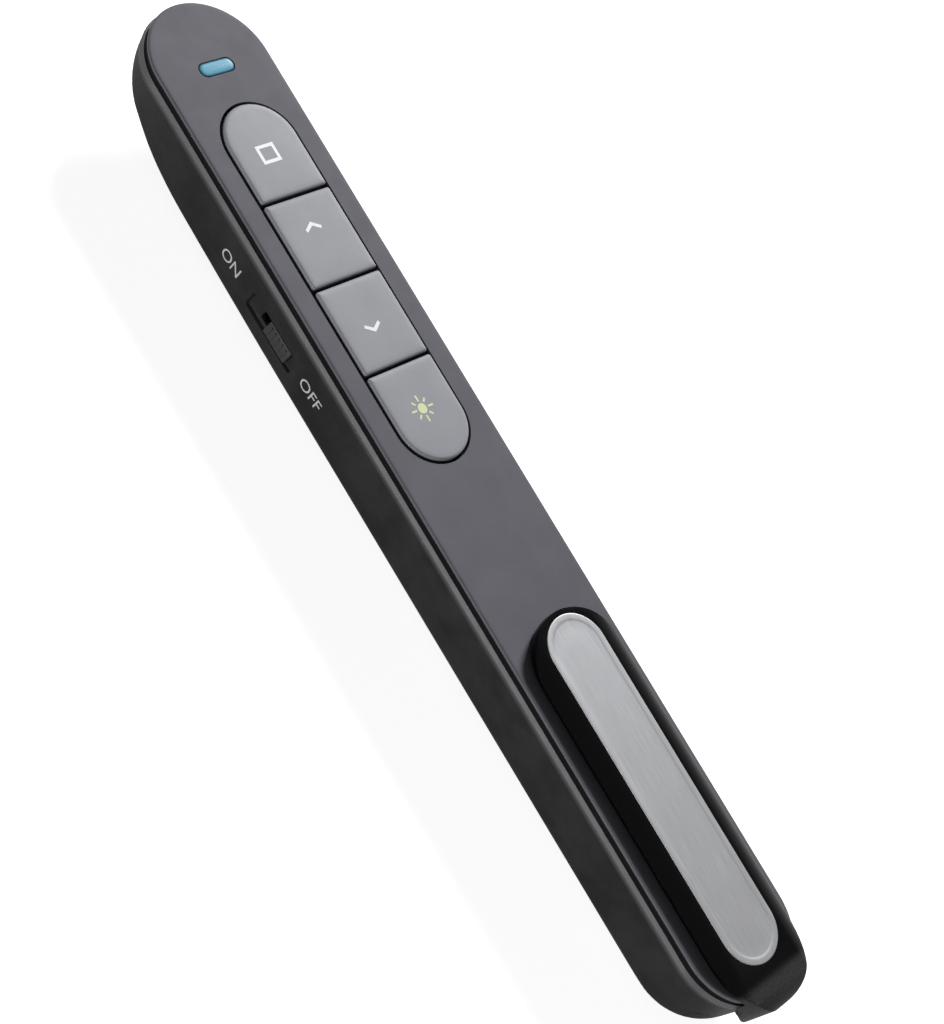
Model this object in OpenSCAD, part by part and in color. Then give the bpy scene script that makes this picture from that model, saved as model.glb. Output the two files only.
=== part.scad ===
// Wireless presentation clicker: a slim hand-held remote with four buttons, a laser
// pointer in the nose, a pocket clip over the tail, a power slider on one side, a
// battery door that slides off the tail and a stowed radio receiver underneath.
//
// Frame: +X runs from the laser nose to the tail, -Y is the side of the power slider,
// +Z points up through the buttons. The flat underside rests on z = 0, and the origin
// is the middle of the whole length, clip included.

/* [Body] */
// Length of the housing from nose to tail
body_l = 158.3; // [156:0.1:172]
// Width of the housing at its widest line
body_w = 20.4; // [20:0.1:24]
// Wall of the shell, the cover and the battery door
wall = 1.25; // [1.05:0.1:1.45]
// Radius of the bottom corners
corner_r = 3; // [2.2:0.1:3.6]
// How far each side wall leans in towards the bottom
lean = 0.6; // [0.2:0.05:0.9]
// Radius of the upswept nose, seen from the side
nose_sweep_r = 46; // [44:1:60]
// Length of the upswept nose
nose_sweep_l = 27; // [25:0.5:28]
// How far the underside has risen where the nose sweep starts
nose_rise = 1; // [0.6:0.1:1.2]
// Radius of the upswept tail, seen from the side
tail_sweep_r = 36; // [30:1:50]
// Length of the upswept tail
tail_sweep_l = 17.4; // [12:0.2:18]

/* [Cover and band] */
// Height of the cover's edge above the groove
cover_edge_h = 0.5; // [0.4:0.05:0.7]
// Rounding of the cover's upper edge
cover_edge_r = 0.4; // [0.2:0.05:0.4]
// Height of the dark groove under the cover
groove_h = 0.3; // [0.2:0.05:0.4]
// Height of the light band round the body
band_h = 1.6; // [1.2:0.1:2]
// How far the band tapers in towards the groove
band_taper = 0.2; // [0.1:0.05:0.4]
// How far the band stands proud of the shell
band_proud = 0.1; // [0.05:0.05:0.2]

/* [Buttons] */
// Distance from the nose to the button strip
strip_from_nose = 17.2; // [17:0.1:18.2]
// Width of the button strip
strip_w = 12.3; // [11:0.1:12.6]
// Pitch of the two middle buttons
button_pitch = 13.75; // [12:0.05:14]
// Length of each round-ended button, up to the middle of its gap
end_button_l = 14.95; // [13.5:0.05:15.2]
// Gap between two buttons
button_gap = 0.4; // [0.3:0.05:0.6]
// Gap between the buttons and the cover
button_side_gap = 0.3; // [0.2:0.05:0.4]
// How far the buttons stand above the cover
button_proud = 0.45; // [0.3:0.05:0.6]
// Rounding of the buttons' upper edge
button_edge = 0.35; // [0.2:0.05:0.5]
// How far a button travels when pressed
button_travel = 0.3; // [0.2:0.05:0.4]

/* [Clip] */
// Distance from the nose to the clip's free end
clip_from_nose = 99.6; // [96:0.2:110]
// Width of the clip at its base
clip_w = 16.4; // [15.4:0.1:17]
// Width of the clip's root where it comes down the tail
clip_root_w = 11; // [9:0.2:11.6]
// Thickness of the clip's arm and root
clip_t = 1.3; // [1.1:0.05:1.6]
// Gap between the arm and the cover
clip_gap = 0.6; // [0.5:0.05:1]
// Gap between the root and the tail
clip_tail_gap = 0.3; // [0.25:0.05:0.5]
// Outer radius of the clip's bend over the tail
clip_bend_r = 2.8; // [2.4:0.1:3]
// Height of the root's lower edge above the table
clip_root_z = 7.2; // [6.8:0.1:7.4]
// Width of the silver insert
insert_w = 10.2; // [9:0.1:10.8]
// Length of the silver insert
insert_l = 53.2; // [45:0.2:54]
// Thickness of the silver insert
insert_t = 0.6; // [0.4:0.05:0.7]
// Distance from the clip's free end to the insert
insert_from_end = 0.8; // [0.6:0.1:2]

/* [Power slider] */
// Distance from the nose to the middle of the slider's recess
switch_from_nose = 47; // [45:0.5:50]
// Height of the slider above the table
switch_z = 5.8; // [5.4:0.1:6]
// Length of the slider's recess
switch_recess_l = 11.6; // [11:0.1:13]
// Height of the slider's recess
switch_recess_h = 3.2; // [2.8:0.1:3.6]
// Length of the slider's knob
knob_l = 5.4; // [4.5:0.1:6]
// Travel of the slider from OFF to ON
switch_travel = 3; // [2:0.1:3.4]

/* [Battery] */
// Diameter of the battery cell
cell_d = 10.5; // [9.8:0.1:10.6]
// Length of the battery cell with its nub
cell_l = 44.5; // [43:0.1:45]
// Gap round the cell
cell_gap = 0.2; // [0.15:0.05:0.35]
// Distance from the tail to the far end of the battery bay
bay_from_tail = 19.9; // [19:0.1:21]
// Width of the battery door
door_w = 14.8; // [14:0.1:15.2]
// Gap round the battery door
door_gap = 0.15; // [0.1:0.05:0.25]

/* [Receiver] */
// Length of the receiver's plug shell
plug_l = 12.2; // [11:0.1:13]
// Width of the receiver's plug shell
plug_w = 12; // [11.5:0.1:12.2]
// Height of the receiver's plug shell
plug_h = 4.5; // [4.2:0.1:4.6]
// Length of the receiver's cap
cap_l = 7.4; // [6:0.1:8]
// Gap round the stowed receiver
receiver_gap = 0.3; // [0.25:0.05:0.4]

/* [Laser] */
// Diameter of the laser module's barrel
barrel_d = 5; // [4.6:0.1:5]
// Length of the laser module's barrel
barrel_l = 6.6; // [6:0.1:6.6]
// Diameter of the beam's opening
beam_d = 3; // [2:0.1:3]
// Height of the beam above the table
beam_z = 8.5; // [8.4:0.1:8.6]

/* [Hidden] */

$fn = 64;
fit = 0.05;      // gap of pieces that sit still against each other
far = 60;        // reach of a cutting block past the part
sweep_fn = 240;  // segments of a full turn in the long side arcs
tail_from_nose = 158.3;  // the tail's place when the stations below have their typed places

// Lengthwise stations. Buttons, slider, clip and insert stretch with the body's length; the
// cell, the receiver and the laser module keep theirs, so the room behind the bay gives way.
stretch = body_l / tail_from_nose;
pitch_l = button_pitch * stretch;
end_l = end_button_l * stretch;
clip_start = clip_from_nose * stretch;
insert_run = insert_l * stretch;
bay_room = bay_from_tail - 0.35 * (tail_from_nose - body_l);
overall_l = band_proud + body_l + clip_tail_gap + clip_t;
x_nose = band_proud - overall_l / 2;
x_tail = x_nose + body_l;
x_axis_nose = x_nose + body_w / 2;
x_axis_tail = x_tail - body_w / 2;
x_sweep_nose = x_nose + nose_sweep_l;
x_sweep_tail = x_tail - tail_sweep_l;

// Heights, from the table up
body_h = cell_d + 2 * cell_gap + 2 * wall;
z_cell = wall + cell_gap + cell_d / 2;
z_plate = body_h - wall;
z_groove = body_h - cover_edge_h - groove_h;
z_part = z_groove - band_h;

// Colours
c_cover = [0.42, 0.42, 0.45];
c_band = [0.5, 0.5, 0.53];
c_shell = [0.13, 0.13, 0.13];
c_button = [0.64, 0.65, 0.68];
c_clip = [0.03, 0.03, 0.04];
c_silver = [0.67, 0.68, 0.69];
c_window = [0.3, 0.65, 0.8];
c_board = [0.05, 0.35, 0.2];
c_chip = [0.08, 0.08, 0.08];
c_steel = [0.75, 0.75, 0.76];
c_brass = [0.8, 0.62, 0.3];
c_white = [0.9, 0.9, 0.88];

// ---- Shared forms ----

// A block given by its two corners
module block(a, b) { translate(a) cube(b - a); }

// Sweeps a half-section, drawn as (distance from the middle, height), round a stadium
// whose end axes stand at x0 and x1
module round_stadium(x0, x1) {
    translate([x0, 0, 0]) rotate([90, 0, 90]) linear_extrude(x1 - x0) {
        children();
        mirror([1, 0]) children();
    }
    translate([x0, 0, 0]) rotate(90) rotate_extrude(angle = 180) children();
    translate([x1, 0, 0]) rotate(-90) rotate_extrude(angle = 180) children();
}

// A flat stadium plate of half-width r between heights z0 and z1
module stadium_plate(x0, x1, r, z0, z1) {
    translate([0, 0, z0]) linear_extrude(z1 - z0) {
        translate([x0, -r]) square([x1 - x0, 2 * r]);
        translate([x0, 0]) circle(r);
        translate([x1, 0]) circle(r);
    }
}

// Half-section of the hull, moved in by d, with its top at height top
module half_section(d, top) {
    phi = atan(lean / z_part);
    corner_y = body_w / 2 - (z_part - corner_r) * tan(phi) - corner_r / cos(phi);
    side_y = corner_y + (corner_r - d) * cos(phi);
    side_z = corner_r - (corner_r - d) * sin(phi);
    polygon([[0, d], [corner_y, d], [side_y, side_z],
             [side_y + (top - side_z) * tan(phi), top], [0, top]]);
    translate([corner_y, corner_r]) circle(corner_r - d);
}

// Side view of the hull, moved in by d: a flat bottom that rises slowly towards the nose
// and sweeps up at both ends
module side_view(d, top) {
    slope = atan(nose_rise / (x_rise - x_sweep_nose));
    x_meet = x_sweep_nose + d * sin(slope);
    // runs on below the section's flat bottom, which closes it there
    polygon([[x_meet, nose_rise + d * cos(slope)], [x_rise + d * tan(slope / 2) + 1 / tan(slope), d - 1],
             [x_sweep_tail, d - 1], [x_sweep_tail, top], [x_meet, top]]);
    intersection() {
        translate([x_sweep_nose + nose_sweep_r * sin(slope), nose_rise + nose_sweep_r * cos(slope)])
            circle(nose_sweep_r - d, $fn = sweep_fn);
        translate([x_meet - far, 0]) square([far, top]);
    }
    intersection() {
        translate([x_sweep_tail, tail_sweep_r]) circle(tail_sweep_r - d, $fn = sweep_fn);
        translate([x_sweep_tail, 0]) square([far, top]);
    }
}

// The hull as a solid, moved in by d
module hull_form(d, top) {
    intersection() {
        round_stadium(x_axis_nose, x_axis_tail) half_section(d, top);
        rotate([90, 0, 0]) linear_extrude(body_w + 2, center = true) side_view(d, top);
    }
}

// ---- Bottom shell ----
screw_y = body_w / 2 - 3.8;
x_screw_nose = x_nose + 14;
x_bay1 = x_tail - bay_room;
bay_l = cell_l + 5.5;
x_bay0 = x_bay1 - bay_l;
x_screw_mid = x_bay0 - 5.3;
case_screw_spots = [for (x = [x_screw_nose, x_screw_mid], s = [-1, 1]) [x, s * screw_y]];
boss_r = 2.3;
screw_head_r = 1.6;
screw_head_h = 1;
screw_l = 5;
screw_r = 0.8;
z_screw_seat = 5.6;
z_boss = z_screw_seat + wall;

bay_wall = 1.5;
cradle_t = 1.2;
x_door = x_bay0 - 0.5;
z_door_top = 5.9;
tongue_w = 10;
tongue_t = 0.65;
tongue_in = sqrt(pow(cell_d / 2, 2) - pow(z_cell - wall - tongue_t, 2)) + 0.4;
runner_y = door_w / 2 + 0.5;
runner_t = 0.6;
z_runner = 2.4;
scoop_r = 5;
scoop_depth = 0.6;
x_receiver1 = x_bay0 - 9.5;
receiver_l = plug_l + cap_l;
x_receiver0 = x_receiver1 - receiver_l;
x_rise = x_receiver0 - 1.5;
z_board = 7.2;
board_t = 1;
z_recess_top = z_board - 0.9;
cap_w = plug_w + 2.6;
recess_wall = 0.8;

x_switch = x_nose + switch_from_nose * stretch;
switch_wall_y = body_w / 2;
x_foot = x_tail - 3.9;
foot_t = 1.4;
z_foot = clip_root_z + 0.9;
foot_w = 6;
z_shelf = z_foot - 0.3;
foot_lift = 0.35;  // room over the foot, for the clip's flex

x_barrel1 = x_nose + 16.2;
x_barrel0 = x_barrel1 - barrel_l;
bezel_wall = 0.5;

// Everything that stands up inside the shell, before it is trimmed to the hull
module shell_inside() {
    for (p = case_screw_spots)
        translate([p[0], p[1], 0]) cylinder(r = boss_r, h = z_boss);
    // cross ribs that carry the board
    for (d = [20, 32, 40, 55])
        block([x_nose + d * stretch, -body_w / 2, 0], [x_nose + d * stretch + 1, body_w / 2, z_board]);
    // walls of the receiver's recess
    block([x_receiver0 - receiver_gap - recess_wall, -cap_w / 2 - receiver_gap - recess_wall, 0],
          [x_receiver1 + receiver_gap + 1.6, cap_w / 2 + receiver_gap + recess_wall,
           z_recess_top + recess_wall]);
    // end walls and cradles of the battery bay, notched for the door's runners
    difference() {
        union() {
            block([x_bay0 - bay_wall, -body_w / 2, 0], [x_bay0, body_w / 2, z_cell + 3]);
            block([x_bay1, -body_w / 2, 0], [x_bay1 + bay_wall, body_w / 2, z_cell + 3]);
            for (f = [0.2, 0.5, 0.8])
                block([x_bay0 + f * bay_l, -body_w / 2, 0],
                      [x_bay0 + f * bay_l + cradle_t, body_w / 2, z_cell + 2.4]);
        }
        block([x_door, -runner_y - 0.2, -1], [x_tail, runner_y + 0.2, z_runner + 0.3]);
    }
    // shelf under the clip's foot
    block([x_foot - 4, -body_w / 2, z_shelf - 1.6], [x_tail, body_w / 2, z_shelf]);
    // saddle of the laser module
    block([x_barrel0 + 1, -barrel_d / 2 - 1.2, 0], [x_barrel0 + 3, barrel_d / 2 + 1.2, beam_z]);
    // tube that holds the bezel in the bow
    translate([x_nose, 0, beam_z]) rotate([0, 90, 0])
        cylinder(d = beam_d + 2 * bezel_wall + 2, h = x_barrel0 - 0.3 - x_nose);
}

module bottom_shell() {
    color(c_shell) difference() {
        union() {
            difference() {
                hull_form(0, z_part);
                hull_form(wall, z_part + 1);
            }
            intersection() {
                hull_form(wall / 2, z_part - 0.6);
                shell_inside();
            }
        }
        // screw holes, counterbored from below
        for (p = case_screw_spots) translate([p[0], p[1], 0]) {
            translate([0, 0, -1]) cylinder(r = screw_r + 0.15, h = z_boss + 2);
            translate([0, 0, -1]) cylinder(r = screw_head_r + 0.15, h = z_screw_seat + 1);
        }
        // opening for the battery door
        block([x_door, -door_w / 2, -1], [x_tail + 1, door_w / 2, z_door_top]);
        // grooves in which the door's runners leave through the tail
        block([x_door, -runner_y - 0.2, z_runner - runner_t - 0.1],
            [x_tail + 1, runner_y + 0.2, z_runner + 0.15]);
        // room for the cell and the door's tongue
        translate([x_bay0, 0, z_cell]) rotate([0, 90, 0])
            cylinder(r = cell_d / 2 + cell_gap, h = bay_l);
        block([x_door - 1.5, -tongue_w / 2 - 0.3, wall + 0.01], [x_bay0 + 1, tongue_w / 2 + 0.3, wall + 1]);
        // channels of the contact straps
        block([x_receiver0, strap_y - 0.1, strap_z - 0.1],
              [x_bay1 + 2, body_w / 2 - wall - 0.1, z_part + 1]);
        block([x_bay1 - 0.2, 3, strap_z - 0.1], [x_bay1 + 0.4, strap_y + 0.2, z_part + 1]);
        block([x_bay0 - 2, tab_y - fit, z_tab - 0.1], [x_bay0 + 1, tab_y + tab_w + fit, z_tab + 0.5]);
        // receiver's recess with its fingernail scoop
        block([x_receiver0 - receiver_gap, -cap_w / 2 - receiver_gap, -1],
              [x_receiver1 + receiver_gap, cap_w / 2 + receiver_gap, z_recess_top]);
        translate([x_receiver1 + receiver_gap, 0, scoop_depth - scoop_r]) rotate([90, 0, 0])
            cylinder(r = scoop_r, h = cap_w - 4, center = true);
        magnet_pocket();
        // slider's recess and slot through the side wall
        block([x_switch - switch_recess_l / 2, -switch_wall_y - 1, switch_z - switch_recess_h / 2],
              [x_switch + switch_recess_l / 2, -switch_wall_y + 0.9, switch_z + switch_recess_h / 2]);
        block([x_switch - knob_neck_l / 2 - switch_travel / 2 - 0.3, -switch_wall_y - 1,
               switch_z - knob_neck_h / 2 - 0.2],
              [x_switch + knob_neck_l / 2 + switch_travel / 2 + 0.3, -switch_wall_y + 3,
               switch_z + knob_neck_h / 2 + 0.2]);
        // slide switch body under the board
        block([x_switch - 4.6, -body_w / 2 + 1.6, switch_z - 2.1], [x_switch + 4.6, -3, z_board + 1]);
        // beam opening through the bow, and the barrel's seat
        translate([x_nose - 1, 0, beam_z]) rotate([0, 90, 0])
            cylinder(d = beam_d + 2 * bezel_wall + 2 * fit, h = x_barrel1 - x_nose + 1);
        translate([x_barrel0 - fit, 0, beam_z]) rotate([0, 90, 0])
            cylinder(d = barrel_d + 2 * fit, h = barrel_l + 2);
        // slot for the clip's foot, and the pilot hole of its screw
        block([x_foot - 3.4, -foot_w / 2 - 0.3, z_shelf],
              [x_tail + 1, foot_w / 2 + 0.3, z_foot + foot_t + foot_lift]);
        translate([x_foot, 0, z_shelf - 3]) cylinder(r = screw_r + fit, h = 4);
    }
}

// ---- Band and cover ----
module trim_band() {
    outer = body_w / 2;
    inner = outer - wall;
    color(c_band) round_stadium(x_axis_nose, x_axis_tail)
        polygon([[inner, z_part], [outer, z_part], [outer + band_proud, z_part + 0.15],
                 [outer + band_proud - band_taper, z_groove - 0.1],
                 [outer - band_taper, z_groove], [inner, z_groove]]);
}

x_strip0 = x_nose + strip_from_nose;
x_gap1 = x_strip0 + end_l;
x_gap2 = x_gap1 + pitch_l;
x_gap3 = x_gap2 + pitch_l;
x_strip1 = x_gap3 + end_l;
x_window = x_nose + 10.8;
window_l = 6.2;
window_w = 2.2;
flange = 0.85;
z_flange_top = z_plate - fit;

module top_cover() {
    edge_y = body_w / 2 - 0.15;
    lip_y = body_w / 2 - wall - 0.1;
    color(c_cover) difference() {
        union() {
            round_stadium(x_axis_nose, x_axis_tail) {
                polygon([[0, z_plate], [lip_y, z_plate], [lip_y, z_groove], [edge_y - 0.5, z_groove],
                         [edge_y - 0.5, z_groove + groove_h], [edge_y, z_groove + groove_h],
                         [edge_y, body_h - cover_edge_r], [edge_y - cover_edge_r, body_h],
                         [0, body_h]]);
                translate([edge_y - cover_edge_r, body_h - cover_edge_r]) circle(cover_edge_r);
            }
            // lip that drops inside the band and the shell
            round_stadium(x_axis_nose, x_axis_tail)
                polygon([[lip_y - 0.7, z_part - 0.5], [lip_y, z_part - 0.5], [lip_y, z_plate + 0.1],
                         [lip_y - 0.7, z_plate + 0.1]]);
            // bosses that take the case screws
            for (p = case_screw_spots) translate([p[0], p[1], z_boss + fit])
                cylinder(r = boss_r - 0.4, h = z_plate - z_boss);
            // ribs over the battery cell
            for (f = [0.15, 0.85])
                block([x_bay0 + f * bay_l, -lip_y + 0.2, z_part - 0.3],
                    [x_bay0 + f * bay_l + 1, lip_y - 0.2, z_plate + 0.1]);
        }
        // the lip stops short of the nose's slanted wall
        block([x_nose - 1, -body_w / 2, z_part - 1], [x_nose + 3 * wall, body_w / 2, z_groove - fit]);
        // aperture of the button strip
        stadium_plate(x_strip0 + strip_w / 2, x_strip1 - strip_w / 2,
                      strip_w / 2 + button_side_gap, z_plate - 1, body_h + 1);
        // indicator window
        window_form(fit, z_plate - 1, body_h + 1);
        // pilot holes
        for (p = case_screw_spots) translate([p[0], p[1], z_boss - 1])
            cylinder(r = screw_r + fit, h = z_plate - z_boss);
        // the ribs clear the cell
        translate([x_bay0, 0, z_cell]) rotate([0, 90, 0]) cylinder(r = cell_d / 2 + cell_gap / 2, h = bay_l);
    }
}

// The slot-shaped window, grown by g
module window_form(g, z0, z1) {
    translate([x_window, 0, z0]) rotate(90) linear_extrude(z1 - z0) {
        square([window_l - window_w, window_w + 2 * g], center = true);
        for (s = [-1, 1]) translate([s * (window_l - window_w) / 2, 0]) circle(window_w / 2 + g);
    }
}

pipe_t = 0.7;
pipe_w = 1.3;
pipe_y1 = screw_y - boss_r + 0.1;  // clear of the cover's boss
x_board0 = x_barrel1 + 1.3;
x_pipe1 = x_strip0 - 0.9;  // clear of the first button's flange
pipe_y0 = barrel_d / 2 + 0.35;  // clear of the laser module
module indicator_window() {
    color(c_window) {
        window_form(0, z_plate - pipe_t, body_h + 0.05);
        // light pipe back to the lamp on the board
        block([x_window, pipe_y1 - 2 * pipe_w, z_plate - pipe_t], [x_pipe1, pipe_y1, z_plate - fit]);
        block([x_pipe1 - 1.2, pipe_y0, z_board + board_t], [x_pipe1, pipe_y1, z_plate - pipe_t]);
    }
}

// ---- Buttons ----
z_button = body_h + button_proud;

// Plan of the strip between two stations, moved in by d
module strip_plan(x0, x1, d) {
    r = strip_w / 2;
    intersection() {
        union() {
            translate([x_strip0 + r, -r + d]) square([x_strip1 - x_strip0 - 2 * r, 2 * (r - d)]);
            for (x = [x_strip0 + r, x_strip1 - r]) translate([x, 0]) circle(r - d);
        }
        translate([x0 + d, -r]) square([x1 - x0 - 2 * d, 2 * r]);
    }
}

module button_form(x0, x1) {
    a = x0 == x_strip0 ? x0 : x0 + button_gap / 2;
    b = x1 == x_strip1 ? x1 : x1 - button_gap / 2;
    x_press = (x0 + x1) / 2;
    color(c_button) {
        // cap with an eased upper edge
        hull() {
            translate([0, 0, z_flange_top - 0.1]) linear_extrude(z_button - button_edge - z_flange_top + 0.1)
                strip_plan(a, b, 0);
            translate([0, 0, z_flange_top]) linear_extrude(z_button - 0.3 * button_edge - z_flange_top)
                strip_plan(a, b, 0.3 * button_edge);
            translate([0, 0, z_flange_top]) linear_extrude(z_button - z_flange_top)
                strip_plan(a, b, button_edge);
        }
        // flange that the cover keeps in
        translate([0, 0, z_flange_top - flange]) linear_extrude(flange) intersection() {
            offset(delta = button_side_gap + 0.45) strip_plan(a, b, 0);
            translate([a == x_strip0 ? a - 1 : a, -strip_w])
                square([(b == x_strip1 ? b + 1 : b) - (a == x_strip0 ? a - 1 : a), 2 * strip_w]);
        }
        // plunger over its switch
        translate([x_press, 0, z_stem]) cylinder(r = 1.6, h = z_flange_top - z_stem - 0.2);
    }
}

module button_blank() { button_form(x_strip0, x_gap1); }
module button_page_up() { button_form(x_gap1, x_gap2); }
module button_page_down() { button_form(x_gap2, x_gap3); }
module button_laser() { button_form(x_gap3, x_strip1); }

// ---- Board and what sits on it ----
x_board1 = x_strip1 + 1.2;
board_w = body_w - 2 * wall - 2.2;
tact_w = 4.5;
tact_h = 1.5;
stem_r = 1;
stem_h = 0.3;     // how far a stem stands above its switch
stem_play = 0.1;
z_stem = z_board + board_t + tact_h + stem_h;
press_spots = [(x_strip0 + x_gap1) / 2, (x_gap1 + x_gap2) / 2, (x_gap2 + x_gap3) / 2,
    (x_gap3 + x_strip1) / 2];

module main_pcb() {
    color(c_board) difference() {
        block([x_board0, -board_w / 2, z_board], [x_board1, board_w / 2, z_board + board_t]);
        // notches over the nose bosses
        for (p = case_screw_spots) translate([p[0], p[1], z_board - 1]) cylinder(r = boss_r + 0.2,
            h = board_t + 2);
        // locating holes and a notch for the antenna keep-out
        for (x = [x_board0 + 4, x_board1 - 3]) translate([x, board_w / 2 - 2,
            z_board - 1]) cylinder(r = 0.8, h = board_t + 2);
        block([x_board1 - 8, -board_w / 2 - 1, z_board - 1],
            [x_board1 - 6.5, -board_w / 2 + 3, z_board + board_t + 1]);
    }
}

module tact_switches() {
    z = z_board + board_t;
    color(c_steel) for (x = press_spots) difference() {
        block([x - tact_w / 2, -tact_w / 2, z], [x + tact_w / 2, tact_w / 2, z + tact_h]);
        translate([x, 0, z + 0.2]) cylinder(r = stem_r + stem_play, h = tact_h);
    }
}

// Stem of one switch; it goes down with its button
module stem_form(x) {
    z = z_board + board_t + 0.2 + button_travel + stem_play;
    color(c_chip) translate([x, 0, z]) cylinder(r = stem_r, h = z_stem - z);
}

module stem_blank() { stem_form(press_spots[0]); }
module stem_page_up() { stem_form(press_spots[1]); }
module stem_page_down() { stem_form(press_spots[2]); }
module stem_laser() { stem_form(press_spots[3]); }

module indicator_led() {
    color(c_white) block([x_board0 + 0.1, pipe_y1 - pipe_w, z_board + board_t],
        [x_board0 + 1, pipe_y1 + 0.3, z_board + board_t + 0.8]);
}

module radio_chip() {
    x = (press_spots[2] + press_spots[3]) / 2;
    color(c_chip) difference() {
        block([x - 2, -2, z_board + board_t], [x + 2, 2, z_board + board_t + 0.9]);
        translate([x - 1.4, 1.4, z_board + board_t + 0.8]) cylinder(r = 0.25, h = 1);
    }
}

module crystal() {
    x = (press_spots[1] + press_spots[2]) / 2;
    color(c_steel) translate([0, 0, z_board + board_t]) linear_extrude(0.8) {
        translate([x - 1, -1.3]) square([2, 2.6]);
    }
}

module chip_parts() {
    color(c_white) for (x = [press_spots[0] + 5 * stretch, press_spots[1] + 5 * stretch,
        press_spots[2] + 4 * stretch], s = [-1, 1], k = [0, 1])
        translate([x, s * (board_w / 2 - 1.6 - 1.6 * k), z_board + board_t + 0.3]) cube([1.6, 0.8,
            0.6], center = true);
}

// ---- Power slider ----
knob_neck_l = 2.4;
knob_neck_h = 1.4;
lever_w = 1.6;
x_knob = x_switch + switch_travel / 2;   // rests at OFF, the tail end of its travel

module switch_knob() {
    y_face = -switch_wall_y + 0.25;
    y_back = -switch_wall_y + 0.8;
    color(c_shell) difference() {
        union() {
            block([x_knob - knob_l / 2, y_face, switch_z - switch_recess_h / 2 + 0.3],
                  [x_knob + knob_l / 2, y_back, switch_z + switch_recess_h / 2 - 0.3]);
            // grip ribs
            for (k = [-1.5:1:1.5]) translate([x_knob + k * knob_l / 5, y_face, switch_z])
                cylinder(r = 0.25, h = switch_recess_h - 1.2, center = true);
            block([x_knob - knob_neck_l / 2, y_back - 0.1, switch_z - knob_neck_h / 2],
                  [x_knob + knob_neck_l / 2, -switch_wall_y + 2.6, switch_z + knob_neck_h / 2]);
        }
        // fork round the lever
        block([x_knob - lever_w / 2 - fit, -switch_wall_y + 1.4, switch_z - 2],
              [x_knob + lever_w / 2 + fit, -switch_wall_y + 3, switch_z + 2]);
    }
}

module switch_lever() {
    color(c_chip) block([x_knob - lever_w / 2, -switch_wall_y + 1.5, switch_z - 0.6],
                        [x_knob + lever_w / 2, -switch_wall_y + 5, switch_z + 0.6]);
}

module slide_switch() {
    y0 = -switch_wall_y + 2.8;
    color(c_steel) difference() {
        block([x_switch - 4.3, y0, switch_z - 1.8], [x_switch + 4.3, y0 + 3.6, z_board]);
        block([x_switch - lever_w / 2 - switch_travel / 2 - 0.2, y0 - 1, switch_z - 0.8],
              [x_switch + lever_w / 2 + switch_travel / 2 + 0.2, y0 + 2.6, switch_z + 0.8]);
    }
}

// ---- Clip ----
x_clip0 = x_nose + clip_start;
x_clip1 = overall_l / 2;
clip_r = clip_w / 2;
z_clip_low = body_h + clip_gap;
z_clip_top = z_clip_low + clip_t;
clip_shoulder = 0.5;
bump_w = clip_w / 2;
x_insert0 = x_clip0 + insert_from_end;
x_insert1 = x_insert0 + insert_run;

// Side view of the clip: its outer face, or the room inside it, rounded over the tail
module clip_side(x_end, top, r) {
    translate([x_clip0 - 1, 0]) square([x_end - r - x_clip0 + 1, top]);
    translate([x_end - r - 0.1, 0]) square([r + 0.1, top - r]);
    intersection() {
        translate([x_end - r, top - r]) circle(r);
        translate([x_end - r - 0.1, top - r - 0.1]) square(r + 1);
    }
}

// Cross-section of the clip: a flat middle for the insert and falling shoulders
module clip_section() {
    flat_y = insert_w / 2 + 0.3;
    drop = clip_t - clip_shoulder;
    run = clip_r - flat_y;
    arc_r = (run * run + drop * drop) / (2 * drop);
    translate([-flat_y, 0]) square([2 * flat_y, z_clip_top]);
    for (s = [-1, 1]) intersection() {
        translate([s * flat_y, z_clip_top - arc_r]) circle(arc_r, $fn = 120);
        translate([s > 0 ? flat_y - 0.1 : -clip_r, 0]) square([run + 0.1, z_clip_top]);
    }
}

// End view of the clip: full width over the cover, a rounded tongue down the tail
module clip_end_view() {
    r = clip_root_w / 2;
    translate([-clip_r - 1, z_clip_low - 1.2]) square([2 * clip_r + 2, clip_t + 3]);
    translate([-r, clip_root_z + r]) square([clip_root_w, z_clip_low - clip_root_z - r]);
    translate([0, clip_root_z + r]) circle(r);
}

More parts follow.
